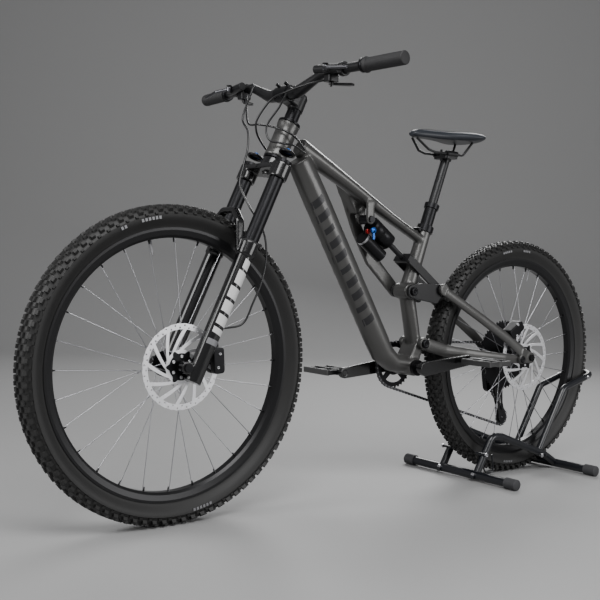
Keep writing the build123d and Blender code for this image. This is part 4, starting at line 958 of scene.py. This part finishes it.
downMarks = []
downSizes = {"count": 10, "top": (800, 790), "foot": (600, 452), "half": 17, "length": 26}
(tx, tz), (fx, fz) = downSizes["top"], downSizes["foot"]
ux, uz = (tx - fx), (tz - fz)
span = math.hypot(ux, uz)
ux, uz = ux / span, uz / span
for side in (1, -1):
    for i in range(downSizes["count"]):
        s = span * (i + 0.5) / downSizes["count"]
        cx, cz = fx + ux * s, fz + uz * s
        h, w = downSizes["half"], downSizes["length"] / 2
        slant = 5
        corners = [at(cx + ux * (da + slant * sb) - uz * h * sb, cz + uz * (da + slant * sb) + ux * h * sb,
                      side * 30)
                   for da, sb in ((-w * 0.8, -1), (w * 0.8, -1), (w * 0.8, 1), (-w * 0.8, 1))]
        if i % 3 == 1:
            corners = [c.lerp(sum(corners, Vector()) / 4, 0.25) for c in corners]
        downMarks.append(surfaceMark(f"downMark{side}x{i}", corners, mainSkin, (0, -side, 0), "decalDark"))
piece(joined("downTubeMarks", downMarks), "bike_frame")
forkMarks = []
for side in (1, -1):
    for i, (a0, a1, f0, f1) in enumerate(((286, 262, -12, 6), (256, 222, -15, 10), (214, 186, -15, 13),
                                          (178, 150, -15, 13), (142, 118, -15, 13), (110, 96, -15, 13))):
        corners = [onFork(a, 14 + f, side * 100) for a, f in ((a0, f0), (a1, f0), (a1 + 4, f1), (a0 + 4, f1))]
        forkMarks.append(surfaceMark(f"forkMark{side}x{i}", corners, lowersSkin, (0, -side, 0), "decalWhite"))
    corners = [onFork(a, 14 + f, side * 100) for a, f in ((84, -17), (70, -17), (70, 15), (84, 15))]
    forkMarks.append(surfaceMark(f"forkBand{side}", corners, lowersSkin, (0, -side, 0), "decalGrey"))
piece(joined("forkMarks", forkMarks), "fork_slider")
print("stage: marks")

# Shock details
shockFront, shockEye = at(605, 738), at(345, 552)
shockDir = (shockFront - shockEye).normalized()
shockDrop = Vector((shockDir.z, 0, -shockDir.x))


def onShock(distance, drop=0.0, y=0.0):
    return shockFront - shockDir * distance * mm + shockDrop * drop * mm + Vector((0, y * mm, 0))


shockParts = [
    lathe("airSleeve", [(24, 20), (26, 24.3), (60, 24.3), (62, 23.2), (64, 24.3), (97, 24.3), (99, 22),
                        (100, 9)], onShock(0), -shockDir, "blackAnodised", 56),
    lathe("reservoirRing", [(20, 19.3), (26, 19.3), (27, 18.5)], onShock(0, 46), -shockDir, "silver", 40),
    lathe("lever", [(0, 0.1), (0, 9), (6, 9), (7, 7), (7, 0.1)], onShock(20, 22, 24), (0, 1, 0),
          "blueAnodised", 24),
    lathe("reboundKnob", [(0, 0.1), (0, 7), (5, 7), (6, 6), (6, 0.1)], onShock(14, 30, 13), (0, 1, 0),
          "redAnodised", 18)]
piece(joined("shockDetails", shockParts), "shock_body")
leverArm = block("leverArm", (5, 4, 24), (0, 0, 0), "blueAnodised")
for v in leverArm.data.vertices:
    v.co = v.co + onShock(26, 32, 29)
piece(leverArm, "shock_body")

# Pivot caps, seat collar, dark chainstay band, stand end caps
caps = []
for (x, z), y, r, body in (((455, 547), 41.6, 11, "bike_frame"), ((412, 402), 48.4, 12, "bike_frame"),
                           ((345, 552), 46.2, 12.6, "rocker"), ((38, 347), 81.1, 11, "upper_stays")):
    for side in (1, -1):
        reach = 53.6 if (x, side) == (455, -1) else y
        capLine = [(0, 0.1), (0, r), (1.2, r), (2, r - 1), (2, 4.2), (0.8, 3.6), (0.8, 0.1)]
        cap = lathe(f"pivotCap{x}{side}", capLine, at(x, z, side * reach), (0, side, 0),
                    "blackAnodised", 36)
        piece(cap, body)
seatDir = (at(383, 722) - at(450, 540)).normalized()
collar = lathe("postCollar", [(61, 16), (62, 19.5), (66, 19.5), (67, 18.7), (70, 18.7), (71, 19.5), (75, 19.5),
                              (76, 18), (76, 13)], at(383, 722), seatDir, "silver", 40)
piece(collar, "bike_frame")
# A matte black band laid 1.2 mm proud over the outer face of the drive-side chainstay
darkBand = surfaceMark("darkStayBand", [at(320, 366, -80), at(120, 344, -80), at(120, 378, -80), at(320, 400, -80)],
                    lowerSkin, (0, 1, 0), "matteBlack", 1.2, (20, 5))
piece(darkBand, "lower_stays")
low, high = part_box("stand_foot_caps")
capR, capLen = 16, 40
caps = []
for x in (low.x + capR * mm, high.x - capR * mm):
    for side in (1, -1):
        profile = [(0, 0.1), (0, 13), (1.5, 15.2), (3, 15.9)]
        a = 4.0
        while a < capLen - 5:
            profile += [(a, 15.9), (a + 0.8, 15.0), (a + 1.8, 15.0), (a + 2.6, 15.9)]
            a += 3.6
        profile += [(capLen - 1, 15.9), (capLen, 15), (capLen, 12.6)]
        base = Vector((x, (high.y if side > 0 else low.y), capR * mm))
        caps.append(lathe(f"footCap{side}{x:.2f}", profile, base, (0, -side, 0), "capRubber", 40))
piece(joined("ribbedFootCaps", caps), "stand", ["stand_foot_caps"])
boltSpots = []
for side in (1, -1):
    boltSpots += [(at(191, 76, side * 84), (0, side, 0)), (at(-318, 273, side * 55.4), (0, side, 0)),
                  (at(212 + 12, 20, side * 67), (1, 0, 0)), (at(-62, 50, side * 84), (0, side, 0))]
bolts = [lathe(f"standBolt{k}", [(-8, 3), (0, 3), (0, 6), (4, 6), (5, 5), (5, 2.6), (3, 2.4), (3, 0.1)], spot,
               direction, "boltSteel", 6, smooth=False) for k, (spot, direction) in enumerate(boltSpots)]
piece(joined("standBolts", bolts), "stand")
print("stage: details")

# Floor, light and camera
cameraSizes = {"x": 2345.88, "y": 1972.0, "z": 613.82, "yaw": -127.71, "pitch": -2.10, "roll": 0.026644,
               "lens": 58.634}
yaw, pitch, roll = math.radians(cameraSizes["yaw"]), math.radians(cameraSizes["pitch"]), cameraSizes["roll"]
floorSizes = {"half": 7.0, "wallAt": 3.6, "bend": 1.2, "wallTop": 5.0}
look("floorPale", (0.30, 0.30, 0.30), 0.0, 0.6, bump=("grain", 60.0, 0.1))
sweepLine = [(9.0, 0.0), (0.0, 0.0)]
sweepLine += [(-floorSizes["wallAt"] - floorSizes["bend"] * math.sin(math.radians(9 * k)),
               floorSizes["bend"] * (1 - math.cos(math.radians(9 * k)))) for k in range(11)]
sweepLine.append((-floorSizes["wallAt"] - floorSizes["bend"], floorSizes["wallTop"]))
outward = -Vector((math.cos(yaw), math.sin(yaw), 0))
sideways = Vector((outward.y, -outward.x, 0))
floorVerts = [outward * a + sideways * w * floorSizes["half"] + Vector((0, 0, h))
              for a, h in sweepLine for w in (-1, 1)]
floorFaces = [(2 * k, 2 * k + 1, 2 * k + 3, 2 * k + 2) for k in range(len(sweepLine) - 1)]
floor = meshObject("floor", floorVerts, floorFaces, "floorPale")
world = bpy.data.worlds.new("studio")
world.use_nodes = True
world.node_tree.nodes["Background"].inputs["Color"].default_value = (0.55, 0.55, 0.56, 1)
world.node_tree.nodes["Background"].inputs["Strength"].default_value = 0.45
bpy.context.scene.world = world


def softLight(name, place, target, size, power):
    data = bpy.data.lights.new(name, "AREA")
    data.shape = "RECTANGLE"
    data.size, data.size_y = size
    data.energy = power
    obj = bpy.data.objects.new(name, data)
    obj.location = place
    obj.rotation_euler = (Vector(target) - Vector(place)).to_track_quat("-Z", "Y").to_euler()
    bpy.context.scene.collection.objects.link(obj)


softLight("keyLight", (1.2, 2.0, 3.2), (0, 0, 0.5), (2.6, 1.6), 120)
softLight("sideLight", (3.2, -0.4, 1.8), (0.3, 0, 0.5), (1.6, 2.0), 70)
softLight("backLight", (-2.6, -2.2, 2.4), (0, 0, 0.6), (2.4, 1.4), 90)
softLight("lowFill", (-1.6, 2.8, 1.0), (-0.3, 0, 0.4), (1.8, 1.2), 35)

ahead = Vector((math.cos(pitch) * math.cos(yaw), math.cos(pitch) * math.sin(yaw), math.sin(pitch)))
right = Vector((math.sin(yaw), -math.cos(yaw), 0))
up = right.cross(ahead)
right, up = (right * math.cos(roll) + up * math.sin(roll), up * math.cos(roll) - right * math.sin(roll))
cameraData = bpy.data.cameras.new("camera")
cameraData.lens = cameraSizes["lens"]
cameraData.sensor_width = 36
camera = bpy.data.objects.new("camera", cameraData)
bpy.context.scene.collection.objects.link(camera)
camera.matrix_world = Matrix.Translation(at(cameraSizes["x"], cameraSizes["z"], cameraSizes["y"])) @ Matrix(
    (right, up, -ahead)).transposed().to_4x4()
bpy.context.scene.camera = camera
